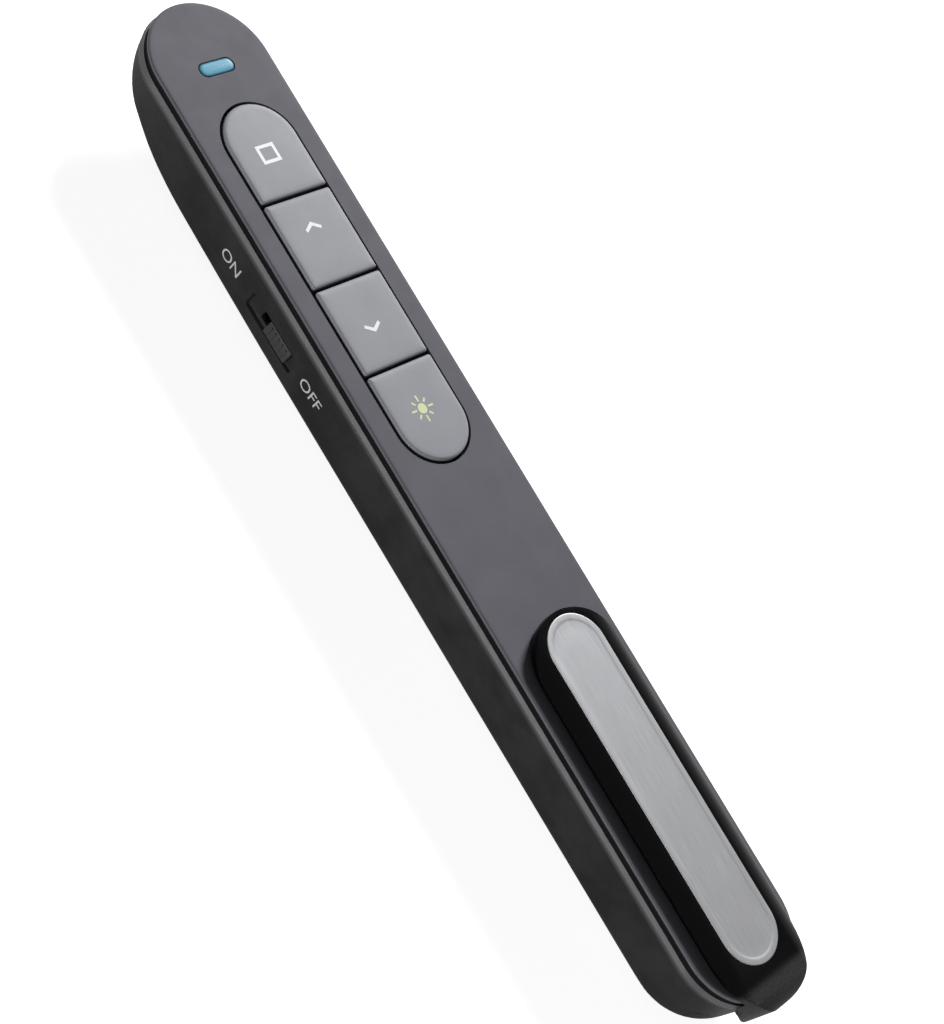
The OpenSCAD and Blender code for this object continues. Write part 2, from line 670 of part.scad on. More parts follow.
module clip() {
    x_in = x_clip1 - clip_t;
    color(c_clip) difference() {
        union() {
            difference() {
                intersection() {
                    stadium_plate(x_clip0 + clip_r, x_clip1 - clip_r, clip_r, clip_root_z - 1,
                        z_clip_top + 1);
                    rotate([90, 0, 0]) linear_extrude(clip_w + 2, center = true)
                        clip_side(x_clip1, z_clip_top, clip_bend_r);
                    translate([x_clip0 - 1, 0, 0]) rotate([90, 0, 90])
                        linear_extrude(x_clip1 - x_clip0 + 2) clip_section();
                    translate([x_clip0 - 1, 0, 0]) rotate([90, 0, 90])
                        linear_extrude(x_clip1 - x_clip0 + 2) clip_end_view();
                }
                // room for the tail and the cover
                intersection() {
                    round_stadium(x_axis_nose, x_axis_tail)
                        square([body_w / 2 + clip_tail_gap, z_clip_low]);
                    rotate([90, 0, 0]) linear_extrude(clip_w + 4, center = true)
                        clip_side(x_in, z_clip_low, clip_bend_r - clip_t);
                }
            }
            // foot that goes through the tail
            block([x_foot - 3, -foot_w / 2, z_foot], [x_clip1 - clip_t / 2, foot_w / 2, z_foot + foot_t]);
            // bump that grips the cloth
            intersection() {
                translate([x_clip0 + 6, 0, z_clip_low + 1.1]) rotate([90, 0, 0])
                    cylinder(r = 1.5, h = bump_w, center = true);
                block([x_clip0, -bump_w, z_clip_low - 1], [x_clip0 + 12, bump_w, z_clip_low + 0.3]);
            }
        }
        // seat of the insert
        stadium_plate(x_insert0 + insert_w / 2, x_insert1 - insert_w / 2, insert_w / 2 + fit,
                      z_clip_top - insert_t, z_clip_top + 1);
        // hole round the screw
        translate([x_foot, 0, z_foot - 1]) cylinder(r = screw_r + 0.4, h = foot_t + 2);
    }
}

module clip_insert() {
    r = insert_w / 2;
    color(c_silver) {
        round_stadium(x_insert0 + r, x_insert1 - r)
            polygon([[0, z_clip_top - insert_t + 0.02], [r, z_clip_top - insert_t + 0.02],
                [r, z_clip_top - 0.05],
                     [r - 0.3, z_clip_top + 0.1], [r - 0.8, z_clip_top + 0.1], [r - 1.1, z_clip_top - 0.02],
                     [0, z_clip_top - 0.02]]);
    }
}

module clip_screw() {
    z = z_foot + foot_t + foot_lift;
    color(c_steel) difference() {
        union() {
            translate([x_foot, 0, z]) cylinder(r = 1.7, h = screw_head_h);
            translate([x_foot, 0, z_shelf - 1.6]) cylinder(r = screw_r, h = z - z_shelf + 1.7);
        }
        for (a = [0, 90]) translate([x_foot, 0, z + screw_head_h]) rotate(a) cube([2, 0.4, 1],
            center = true);
    }
}

// ---- Laser module ----
module laser_barrel() {
    color(c_brass) translate([x_barrel0, 0, beam_z]) rotate([0, 90, 0]) difference() {
        cylinder(d = barrel_d, h = barrel_l);
        translate([0, 0, -1]) cylinder(d = beam_d, h = barrel_l + 2);
        translate([0, 0, 0.8]) cylinder(d = barrel_d - 1.2, h = barrel_l);
    }
}

module laser_lens() {
    color([0.8, 0.9, 0.95, 0.6]) translate([x_barrel0 + 0.85, 0, beam_z]) rotate([0, 90, 0])
        intersection() {
            cylinder(d = barrel_d - 1.3, h = 1.2);
            translate([0, 0, -3]) sphere(r = 4.2);
        }
}

module laser_diode() {
    color(c_steel) translate([x_barrel1, 0, beam_z]) rotate([0, 90, 0]) {
        translate([0, 0, -1.9]) cylinder(d = barrel_d - 1.3, h = 1.2);
        translate([0, 0, -3.4]) cylinder(d = 2.6, h = 1.6);
        for (s = [-1, 1]) translate([0, s * 0.9, -0.8]) cylinder(d = 0.4, h = x_board0 - x_barrel1 + 0.8);
    }
}

module laser_bezel() {
    color(c_steel) difference() {
        intersection() {
            translate([x_nose, 0, beam_z]) rotate([0, 90, 0])
                cylinder(d = beam_d + 2 * bezel_wall, h = x_barrel0 - fit - x_nose);
            hull_form(0.1, z_part);
        }
        translate([x_nose - 1, 0, beam_z]) rotate([0, 90, 0]) cylinder(d = beam_d, h = 20);
    }
}

// ---- Battery, contacts and door ----
rail_out = door_w / 2 - 2 * door_gap;
rail_in = rail_out - 0.8;
module battery_door() {
    color(c_shell) {
        intersection() {
            difference() {
                hull_form(0, z_part);
                hull_form(wall, z_part + 1);
            }
            block([x_door + door_gap, -door_w / 2 + door_gap, -1],
                  [x_tail + 1, door_w / 2 - door_gap, z_door_top - door_gap]);
        }
        // two tongues that hook over the shell's floor, one on each side of the cell
        for (s = [-1, 1]) {
            y0 = min(s * tongue_in, s * tongue_w / 2);
            y1 = max(s * tongue_in, s * tongue_w / 2);
            block([x_door - 1.2, y0, wall + fit], [x_door + 3, y1, wall + tongue_t]);
            block([x_door + door_gap, y0, wall - 0.2], [x_door + 3, y1, wall + 0.2]);
        }
        // runners that ride over the edges of the opening
        for (s = [-1, 1]) {
            block([x_door + 4, min(s * rail_in, s * runner_y), z_runner - runner_t],
                  [x_sweep_tail - 4, max(s * rail_in, s * runner_y), z_runner]);
            block([x_door + 4, min(s * rail_in, s * rail_out), wall - 0.3],
                  [x_sweep_tail - 4, max(s * rail_in, s * rail_out), z_runner]);
        }
    }
}

nub_l = 0.8;
x_cell0 = x_bay0 + 0.75;
x_cell1 = x_cell0 + cell_l;
module battery_cell() {
    color([0.2, 0.35, 0.6]) translate([x_cell0, 0, z_cell]) rotate([0, 90, 0]) {
        cylinder(d = 3.8, h = nub_l + 0.5);
        translate([0, 0, nub_l]) cylinder(d = cell_d - 0.6, h = 1);
        translate([0, 0, nub_l + 0.4]) cylinder(d = cell_d, h = cell_l - nub_l - 0.8);
        translate([0, 0, cell_l - 1.2]) cylinder(d = cell_d - 0.6, h = 1.2);
    }
}

strap_t = 0.3;
contact_r = 3.2;
dimple_r = 1.6;
dimple_h = 0.65;
strap_h = 2;
strap_y = body_w / 2 - wall - 0.6;
strap_z = z_board + board_t + 0.1;
tab_w = 2.7;
tab_y = screw_y - boss_r + 0.1 - tab_w;  // clear of the cover's boss
z_tab = z_board + board_t;

module contact_positive() {
    color(c_steel) {
        block([x_bay0 + fit, -contact_r, z_cell - contact_r],
            [x_bay0 + fit + strap_t, tab_y + tab_w, z_tab + strap_t]);
        translate([x_bay0 + fit, 0, z_cell]) rotate([0, 90, 0]) cylinder(r = dimple_r, h = dimple_h);
        block([x_board1 - tab_w, tab_y, z_tab], [x_bay0 + fit + 0.1, tab_y + tab_w, z_tab + strap_t]);
    }
}

module contact_negative() {
    x = x_bay1 - fit - strap_t;
    color(c_steel) {
        block([x, -3.8, z_cell - 3.8], [x + strap_t, 3.8, z_cell + 3.8]);
        // strap along the side wall, with a tab on the board
        block([x, 3.5, strap_z], [x + strap_t, strap_y + strap_t, strap_z + strap_h - 1]);
        block([x_board1 - 3, strap_y, strap_z], [x + strap_t, strap_y + strap_t, strap_z + strap_h]);
        block([x_board1 - 3, board_w / 2 - 1, z_board + board_t],
              [x_board1 - 1, strap_y + strap_t, z_board + board_t + strap_t]);
    }
}

// Conical coil: a wire swept by computed rings along a helix that narrows to the cell
spring_turns = 3;
spring_wire = 0.5;
spring_steps = 16;
spring_sides = 8;
module contact_spring() {
    x0 = x_bay1 - fit - strap_t;
    travel = x0 - x_cell1 - spring_wire;
    n = spring_turns * spring_steps;
    function radius(t) = 3.4 - 1.4 * t;
    function centre(i) = let (t = i / n, a = 360 * spring_turns * t)
        [x0 - spring_wire / 2 - travel * t, radius(t) * cos(a), z_cell + radius(t) * sin(a)];
    points = [for (i = [0:n], k = [0:spring_sides - 1])
        let (a = 360 * spring_turns * i / n, b = 360 * k / spring_sides, c = centre(i))
        c + spring_wire / 2 * [cos(b), sin(b) * cos(a), sin(b) * sin(a)]];
    sides = [for (i = [0:n - 1], k = [0:spring_sides - 1]) let (m = (k + 1) % spring_sides)
        [i * spring_sides + k, i * spring_sides + m, (i + 1) * spring_sides + m,
            (i + 1) * spring_sides + k]];
    caps = [[for (k = [spring_sides - 1:-1:0]) k], [for (k = [0:spring_sides - 1]) n * spring_sides + k]];
    color(c_steel) polyhedron(points, concat(sides, caps));
}

// ---- Receiver ----
z_plug = 1.1;
plug_skin = 0.35;
latch_x = 0.41 * plug_l;
latch_l = 0.18 * plug_l;
latch_y = 0.242 * plug_w;
latch_w = 0.21 * plug_w;
x_plug1 = x_receiver0 + plug_l;

module receiver_cap() {
    z0 = 0.4;
    z1 = z_recess_top - receiver_gap;
    color(c_shell) difference() {
        translate([0, 0, z0]) linear_extrude(z1 - z0) {
            translate([x_plug1, -cap_w / 2 + 1]) square([cap_l, cap_w - 2]);
            translate([x_plug1, -cap_w / 2]) square([cap_l - 1, cap_w]);
            for (s = [-1, 1]) translate([x_receiver1 - 1, s * (cap_w / 2 - 1)]) circle(1);
        }
        // fingernail grooves on the face that shows
        for (k = [0:2]) block([x_plug1 + 2 + 1.6 * k, -cap_w / 2 + 2, z0 - 1],
            [x_plug1 + 2.6 + 1.6 * k, cap_w / 2 - 2, z0 + 0.25]);
    }
}

module receiver_plug() {
    color(c_steel) difference() {
        block([x_receiver0, -plug_w / 2, z_plug], [x_plug1, plug_w / 2, z_plug + plug_h]);
        block([x_receiver0 - 1, -plug_w / 2 + plug_skin, z_plug + plug_skin],
              [x_plug1 - 0.4, plug_w / 2 - plug_skin, z_plug + plug_h - plug_skin]);
        // latch windows on both faces
        for (s = [-1, 1]) block([x_receiver0 + latch_x, s * latch_y - latch_w / 2, z_plug - 1],
                                [x_receiver0 + latch_x + latch_l, s * latch_y + latch_w / 2,
                                    z_plug + plug_h + 1]);
    }
}

module receiver_tongue() {
    color(c_white) block([x_receiver0 + 0.6, -plug_w / 2 + plug_skin, z_plug + plug_h / 2 + 0.1],
                         [x_plug1 - 0.4, plug_w / 2 - plug_skin, z_plug + plug_h - plug_skin]);
}

magnet_r = 2;
magnet_t = 1;
x_magnet = x_receiver1 + receiver_gap + 0.4;
z_magnet = z_plug + plug_h / 2 - 0.15;
module magnet_pocket() {
    block([x_magnet - fit, -magnet_r - fit, z_magnet - magnet_r - fit],
        [x_magnet + magnet_t + fit, magnet_r + fit, z_board + 1]);
}
module receiver_magnet() {
    color(c_steel) translate([x_magnet, 0, z_magnet]) rotate([0, 90, 0]) cylinder(r = magnet_r,
        h = magnet_t);
}

// ---- Case screws ----
module case_screws() {
    z = z_screw_seat - screw_head_h;
    for (p = case_screw_spots) color(c_steel) difference() {
        union() {
            translate([p[0], p[1], z]) cylinder(r = screw_head_r, h = screw_head_h);
            translate([p[0], p[1], z_screw_seat - 0.1]) cylinder(r = screw_r, h = screw_l);
        }
        for (a = [0, 90]) translate([p[0], p[1], z]) rotate(a) cube([2, 0.4, 1], center = true);
    }
}

top_cover();
trim_band();
bottom_shell();
indicator_window();
button_blank();
button_page_up();
button_page_down();
button_laser();
switch_knob();
switch_lever();
slide_switch();
clip();
clip_insert();
clip_screw();
main_pcb();
tact_switches();
stem_blank();
stem_page_up();
stem_page_down();
stem_laser();
indicator_led();
radio_chip();
crystal();
chip_parts();
laser_barrel();
laser_diode();
laser_lens();
laser_bezel();
battery_door();
battery_cell();
contact_positive();
contact_negative();
contact_spring();
receiver_cap();
receiver_plug();
receiver_tongue();
receiver_magnet();
case_screws();
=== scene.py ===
"""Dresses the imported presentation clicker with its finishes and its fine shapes.

Sizes are in millimetres in the classes and become metres when a mesh is made. The frame is
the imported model's: +X from the nose to the tail, -Y the power slider's side, +Z up.
"""
from __future__ import annotations

import logging
import math
from dataclasses import dataclass
from enum import Enum
from functools import cached_property
from typing import Iterable, Sequence

import bmesh
import bpy
from mathutils import Matrix, Vector

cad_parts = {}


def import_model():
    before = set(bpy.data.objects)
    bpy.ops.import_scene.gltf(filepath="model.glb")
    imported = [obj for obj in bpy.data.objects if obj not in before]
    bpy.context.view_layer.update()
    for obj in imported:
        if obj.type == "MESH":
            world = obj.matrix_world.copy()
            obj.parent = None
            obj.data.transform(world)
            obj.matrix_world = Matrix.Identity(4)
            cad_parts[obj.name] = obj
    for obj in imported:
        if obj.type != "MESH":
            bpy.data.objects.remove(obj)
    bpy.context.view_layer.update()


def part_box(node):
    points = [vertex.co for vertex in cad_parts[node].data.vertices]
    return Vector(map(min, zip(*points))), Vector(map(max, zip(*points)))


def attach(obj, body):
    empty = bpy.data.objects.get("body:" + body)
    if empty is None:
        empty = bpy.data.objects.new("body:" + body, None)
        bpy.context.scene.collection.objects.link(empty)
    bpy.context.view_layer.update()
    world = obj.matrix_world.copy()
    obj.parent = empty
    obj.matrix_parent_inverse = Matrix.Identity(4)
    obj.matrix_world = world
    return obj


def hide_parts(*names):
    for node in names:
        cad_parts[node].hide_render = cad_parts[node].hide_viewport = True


LOG = logging.getLogger("clicker")
MM = 0.001
Pair = tuple[float, float]
Point = tuple[float, float, float]
Colour = tuple[float, float, float]
Levels = Sequence[Pair]
Thing = bpy.types.Object
Material = bpy.types.Material
Socket = bpy.types.NodeSocket


# ---- node trees


class Wire:
    """A node's output on which Python arithmetic adds Math nodes."""

    def __init__(self, tree: Tree, socket: Socket) -> None:
        """Keeps the tree that new Math nodes go into, and the wrapped socket."""
        self.tree, self.socket = tree, socket

    def _math(self, operation: str, *values: object) -> Wire:
        """Adds one Math node on values and wires."""
        return self.tree.wire("ShaderNodeMath", dict(enumerate(values)), operation=operation)

    def __add__(self, other: object) -> Wire:
        """Adds other."""
        return self._math("ADD", self, other)

    def __sub__(self, other: object) -> Wire:
        """Takes other away."""
        return self._math("SUBTRACT", self, other)

    def __rsub__(self, other: object) -> Wire:
        """Is taken away from other."""
        return self._math("SUBTRACT", other, self)

    def __mul__(self, other: object) -> Wire:
        """Multiplies by other."""
        return self._math("MULTIPLY", self, other)

    def __truediv__(self, other: object) -> Wire:
        """Divides by other."""
        return self._math("DIVIDE", self, other)

    __radd__, __rmul__ = __add__, __mul__

    def size(self) -> Wire:
        """Gives the absolute value."""
        return self._math("ABSOLUTE", self)

    def power(self, exponent: float) -> Wire:
        """Raises to an exponent."""
        return self._math("POWER", self, exponent)

    def step(self, low: float, high: float) -> Wire:
        """Turns low to 0 and high to 1, smoothly and clamped."""
        sockets = {"Value": self, "From Min": low, "From Max": high}
        return self.tree.wire("ShaderNodeMapRange", sockets, interpolation_type="SMOOTHSTEP", clamp=True)


class Tree:
    """A node tree in which one method makes every node."""

    def __init__(self, tree: bpy.types.NodeTree) -> None:
        """Wraps a material's, a world's or a Geometry Nodes tree."""
        self.tree = tree

    def node(self, kind: str, sockets: dict | None = None, **settings: object) -> bpy.types.Node:
        """Adds a node.

        Args:
            kind: the node's type.
            sockets: values, wires or sockets, by the input's name or number.
            **settings: the node's own settings, which are set first.

        Returns:
            The new node.
        """
        made = self.tree.nodes.new(kind)
        for name, value in settings.items():
            setattr(made, name, value)
        for key, value in (sockets or {}).items():
            self.feed(made.inputs[key], value)
        return made

    def feed(self, target: Socket, value: object) -> None:
        """Links a wire or socket to an input, or sets its value.

        Args:
            target: the input.
            value: the wire, socket or plain value; a colour may leave out its alpha.
        """
        value = value.socket if isinstance(value, Wire) else value
        if isinstance(value, Socket):
            self.tree.links.new(value, target)
        elif isinstance(value, tuple) and len(value) == 3 and len(target.default_value) == 4:
            target.default_value = (*value, 1.0)
        else:
            target.default_value = value

    def wire(self, kind: str, sockets: dict | None = None, output: int | str = 0,
             **settings: object) -> Wire:
        """Adds a node as the method node does and wraps one of its outputs."""
        return Wire(self, self.node(kind, sockets, **settings).outputs[output])


class Paint(Tree):
    """A material under construction: a Principled shader fed from Object coordinates."""

    def __init__(self, name: str) -> None:
        """Starts a material with a plain shader.

        Args:
            name: the material's name.
        """
        self.material = bpy.data.materials.new(name)
        self.material.use_nodes = True
        super().__init__(self.material.node_tree)
        self.tree.nodes.clear()
        self.shader = self.node("ShaderNodeBsdfPrincipled")
        self.out = self.node("ShaderNodeOutputMaterial", {0: self.shader.outputs[0]})
        self.place = self.node("ShaderNodeTexCoord").outputs["Object"]
        split = self.node("ShaderNodeSeparateXYZ", {0: self.place})
        self.x, self.y, self.z = (Wire(self, axis) / MM for axis in split.outputs)

    def surface(self, **sockets: object) -> None:
        """Sets the shader's sockets; an underscore in a name stands for a space."""
        for name, value in sockets.items():
            self.feed(self.shader.inputs[name.replace("_", " ")], value)

    def noise(self, grain: float, detail: float = 2.0, rough: float = 0.5,
              stretch: Point = (1.0, 1.0, 1.0)) -> Wire:
        """Adds fractal noise.

        Args:
            grain: the size of its blobs in millimetres.
            detail: the number of finer layers.
            rough: how strong the finer layers are.
            stretch: how many times longer the blobs are along each axis.

        Returns:
            A wire between 0 and 1.
        """
        shrink = tuple(1.0 / (grain * MM * share) for share in stretch)
        spot = self.wire("ShaderNodeMapping", {"Vector": self.place, "Scale": shrink})
        sockets = {"Vector": spot, "Scale": 1.0, "Detail": detail, "Roughness": rough}
        return self.wire("ShaderNodeTexNoise", sockets, "Fac")

    def blend(self, share: object, first: object, second: object) -> Wire:
        """Mixes two colours by a share from 0 to 1."""
        return self.wire("ShaderNodeMix", {0: share, 6: first, 7: second}, 2, data_type="RGBA")

    def bump(self, height: Wire, depth: float) -> None:
        """Lets a pattern from 0 to 1 raise the surface by up to a depth in millimetres."""
        self.surface(Normal=self.wire("ShaderNodeBump", {"Distance": depth * MM, "Height": height}))


def seen_by(tree: Tree, *rays: str) -> Wire:
    """Adds up what a tree's light path says of kinds of ray, such as Camera."""
    outputs = tree.node("ShaderNodeLightPath").outputs
    return sum((Wire(tree, outputs[f"Is {ray} Ray"]) for ray in rays), 0.0)


def shade(colour: Colour, factor: float) -> Colour:
    """Gives a colour made lighter or darker by a factor."""
    return tuple(min(1.0, channel * factor) for channel in colour)


# ---- finishes


@dataclass(frozen=True)
class Coat:
    """A finish, which paints itself on a new material."""

    def material(self, name: str) -> Material:
        """Builds the material under a name."""
        self.apply(paint := Paint(name))
        return paint.material

    def apply(self, paint: Paint) -> None:
        """Paints the finish's pattern."""
        raise NotImplementedError


@dataclass(frozen=True)
class MouldedPlastic(Coat):
    """Plastic from a textured mould: fine grain, faint mottling and rubbed spots, with an optional band of
    painted light or painted shade between two heights.
    """

    colour: Colour
    roughness: float
    grain: float
    depth: float
    mottle: float
    specular: float
    # the two heights over which the band of painted light or painted shade fades in, and the factor that
    # lightens or darkens the colour there
    rim: Pair = (0.0, 0.0)
    painted_light_gain: float = 1.0

    def apply(self, paint: Paint) -> None:
        """Paints the grain, and past the given heights a lighter or darker tone that is painted light or
        painted shade.

        Args:
            paint: the material under construction.
        """
        grain = paint.noise(self.grain, 3.0, 0.6)
        cloud = paint.noise(7.0, 3.0, 0.55).step(0.3, 0.7)
        tone = paint.blend(cloud, shade(self.colour, 1 - self.mottle), shade(self.colour, 1 + self.mottle))
        tone = paint.blend(grain.step(0.62, 0.8) * 0.35, tone, shade(self.colour, 1.3))
        # painted light or shade: the colour made lighter or darker past the given heights
        if self.painted_light_gain != 1.0:
            tone = paint.blend(paint.z.step(*self.rim), tone, shade(self.colour, self.painted_light_gain))
        paint.surface(
            Base_Color=tone,
            Roughness=self.roughness + (paint.noise(2.5) - 0.5) * 0.12,
            Specular_IOR_Level=self.specular,
        )
        paint.bump(grain, self.depth)


@dataclass(frozen=True)
class ClipPlastic(Coat):
    """Clip moulding: polished on the arm, and down the root a fine dull texture whose lighter colour is
    painted reflected light.
    """

    gloss: Colour
    # the root's colour, lighter than the polish as painted reflected light; a darker copy of it colours the
    # dust
    root_sheen_and_dust: Colour
    bend: Pair

    def apply(self, paint: Paint) -> None:
        """Paints the polish up to the bend, and past it the texture in a lighter colour of painted reflected
        light.

        Args:
            paint: the material under construction.
        """
        wave = paint.noise(5.0, 1.0)
        grain = paint.noise(0.3, 3.0, 0.6)
        dust = paint.noise(0.3, 2.0, 0.8).step(0.7, 0.85)
        root = paint.x.step(*self.bend)
        # painted reflection: the root's lighter, speckled colour stands in for the light its curved face
        # reflects
        mottled_root_sheen = paint.blend(grain.step(0.35, 0.7), shade(self.root_sheen_and_dust, 0.75), shade(self.root_sheen_and_dust, 1.25))
        dusty = paint.blend(dust * 0.2, self.gloss, shade(self.root_sheen_and_dust, 0.6))
        paint.surface(
            Base_Color=paint.blend(root, dusty, mottled_root_sheen),
            Roughness=0.16 + root * 0.34 + dust * 0.15,
            Specular_IOR_Level=0.05,
        )
        paint.bump(wave + grain * root * 0.15, 0.03)


@dataclass(frozen=True)
class BrushedMetal(Coat):
    """Metal brushed in one direction, with soft tonal drift."""

    colour: Colour
    roughness: float
    along: Point = (40.0, 1.0, 1.0)
    streak: float = 0.12

    def apply(self, paint: Paint) -> None:
        """Paints the streaks and the drift.

        Args:
            paint: the material under construction.
        """
        fibre = paint.noise(self.streak, 3.0, 0.6, self.along)
        drift = paint.noise(9.0)
        tone = paint.blend(fibre.step(0.25, 0.75), shade(self.colour, 0.86), shade(self.colour, 1.1))
        paint.surface(
            Base_Color=paint.blend(drift.step(0.35, 0.65) * 0.5, tone, shade(self.colour, 0.92)),
            Metallic=1.0,
            Roughness=self.roughness + (fibre - 0.5) * 0.16 + (drift - 0.5) * 0.08,
        )
        paint.bump(fibre, 0.006)


@dataclass(frozen=True)
class PlatedMetal(Coat):
    """Stamped or turned metal with plating marks and a few dull spots."""

    colour: Colour
    roughness: float = 0.25
    spots: float = 0.8

    def apply(self, paint: Paint) -> None:
        """Paints the plating and its spots.

        Args:
            paint: the material under construction.
        """
        spots = paint.noise(self.spots, 3.0, 0.65)
        paint.surface(
            Base_Color=paint.blend(spots.step(0.4, 0.75), self.colour, shade(self.colour, 0.78)),
            Metallic=1.0,
            Roughness=self.roughness + spots.step(0.5, 0.8) * 0.2,
        )
        paint.bump(spots, 0.004)


@dataclass(frozen=True)
class LampWindow(Coat):
    """Tinted light pipe: a bright core that falls off to a dark rim."""

    core: Colour
    rim: Colour
    centre: float
    half: Pair

    def apply(self, paint: Paint) -> None:
        """Paints the core round its centre on the X axis, and the rim.

        Args:
            paint: the material under construction.
        """
        across = (paint.x - self.centre).size() / self.half[0]
        along = paint.y.size() / self.half[1]
        edge = (across.power(3.0) + along.power(5.0)).step(0.25, 1.0)
        sparkle = paint.noise(0.25)
        glitter = paint.blend(sparkle.step(0.3, 0.8) * 0.3, self.core, shade(self.core, 1.25))
        paint.surface(
            Base_Color=paint.blend(edge, glitter, self.rim),
            Emission_Color=paint.blend(edge, self.core, shade(self.rim, 0.2)),
            Emission_Strength=0.25,
            Roughness=0.35 + (sparkle - 0.5) * 0.1,
            Specular_IOR_Level=0.1,
        )
        paint.bump(sparkle, 0.01)


@dataclass(frozen=True)
class SignInk(Coat):
    """Pad-printed ink: solid, with tiny pinholes at its grain."""

    colour: Colour

    def apply(self, paint: Paint) -> None:
        """Paints the ink and its pinholes.

        Args:
            paint: the material under construction.
        """
        holes = paint.noise(0.12, 2.0, 0.7).step(0.66, 0.8)
        paint.surface(
            Base_Color=paint.blend(holes * 0.4, self.colour, shade(self.colour, 0.55)),
            Roughness=0.55 + (holes - 0.5) * 0.1,
            Specular_IOR_Level=0.3,
        )


@dataclass(frozen=True)
class BoardMask(Coat):
    """Circuit board: solder mask that is lighter over the copper runs."""

    mask: Colour
    pitch: float = 3.1

    def apply(self, paint: Paint) -> None:
        """Paints the mask and raises its runs.

        Args:
            paint: the material under construction.
        """
        sockets = {"Vector": paint.place, "Scale": 1.0 / (self.pitch * MM)}
        runs = (paint.wire("ShaderNodeTexVoronoi", sockets, "Distance") - 0.5).size().step(0.06, 0.02)
        paint.surface(
            Base_Color=paint.blend(runs * 0.6, self.mask, shade(self.mask, 2.2)),
            Roughness=0.3 + (paint.noise(0.2) - 0.5) * 0.1,
            Specular_IOR_Level=0.5,
        )
        paint.bump(runs, 0.02)


@dataclass(frozen=True)
class CellSleeve(Coat):
    """Shrink sleeve of a battery cell: two plain bands and bare metal at both ends."""

    main: Colour
    band: Colour
    metal: Colour
    low: float
    high: float
    band_width: float = 12.0

    def apply(self, paint: Paint) -> None:
        """Paints the two bands and the bare ends.

        Args:
            paint: the material under construction.
        """
        bare = 1.0 - paint.x.step(self.low, self.low + 0.1) * (1.0 - paint.x.step(self.high - 0.1, self.high))
        start = self.high - self.band_width
        scuff = paint.noise(0.4, 3.0, 0.6)
        tone = paint.blend(paint.x.step(start, start + 0.1), self.main, self.band)
        tone = paint.blend(scuff.step(0.6, 0.8) * 0.2, tone, shade(self.band, 0.5))
        paint.surface(
            Base_Color=paint.blend(bare, tone, self.metal),
            Metallic=bare,
            Roughness=0.3 + (scuff - 0.5) * 0.15,
        )
        paint.bump(scuff, 0.01)


@dataclass(frozen=True)
class LensGlass(Coat):
    """Clear moulded lens with faint haze."""

    tint: Colour

    def apply(self, paint: Paint) -> None:
        """Paints the haze.

        Args:
            paint: the material under construction.
        """
        haze = paint.noise(0.6)
        paint.surface(
            Base_Color=paint.blend(haze, self.tint, shade(self.tint, 0.94)),
            Roughness=0.05 + haze * 0.05,
            Transmission_Weight=0.9,
            IOR=1.49,
        )


@dataclass(frozen=True)
class StudioFloor(Coat):
    """Pale studio floor that reads as white to the camera and keeps soft shadows."""

    albedo: float = 0.82
    lift: float = 0.87
    mirrored: float = 0.2

    def apply(self, paint: Paint) -> None:
        """Paints the floor grey and adds a glow for the camera, and a weak one for reflections.

        Args:
            paint: the material under construction.
        """
        paint.surface(Base_Color=(self.albedo,) * 3, Roughness=0.9, Specular_IOR_Level=0.0)
        seen = seen_by(paint, "Camera") + seen_by(paint, "Glossy") * self.mirrored
        glow = paint.wire("ShaderNodeEmission", {"Color": (1.0, 1.0, 1.0), "Strength": seen * self.lift})
        both = paint.wire("ShaderNodeAddShader", {0: paint.shader.outputs[0], 1: glow})
        paint.feed(paint.out.inputs[0], both)


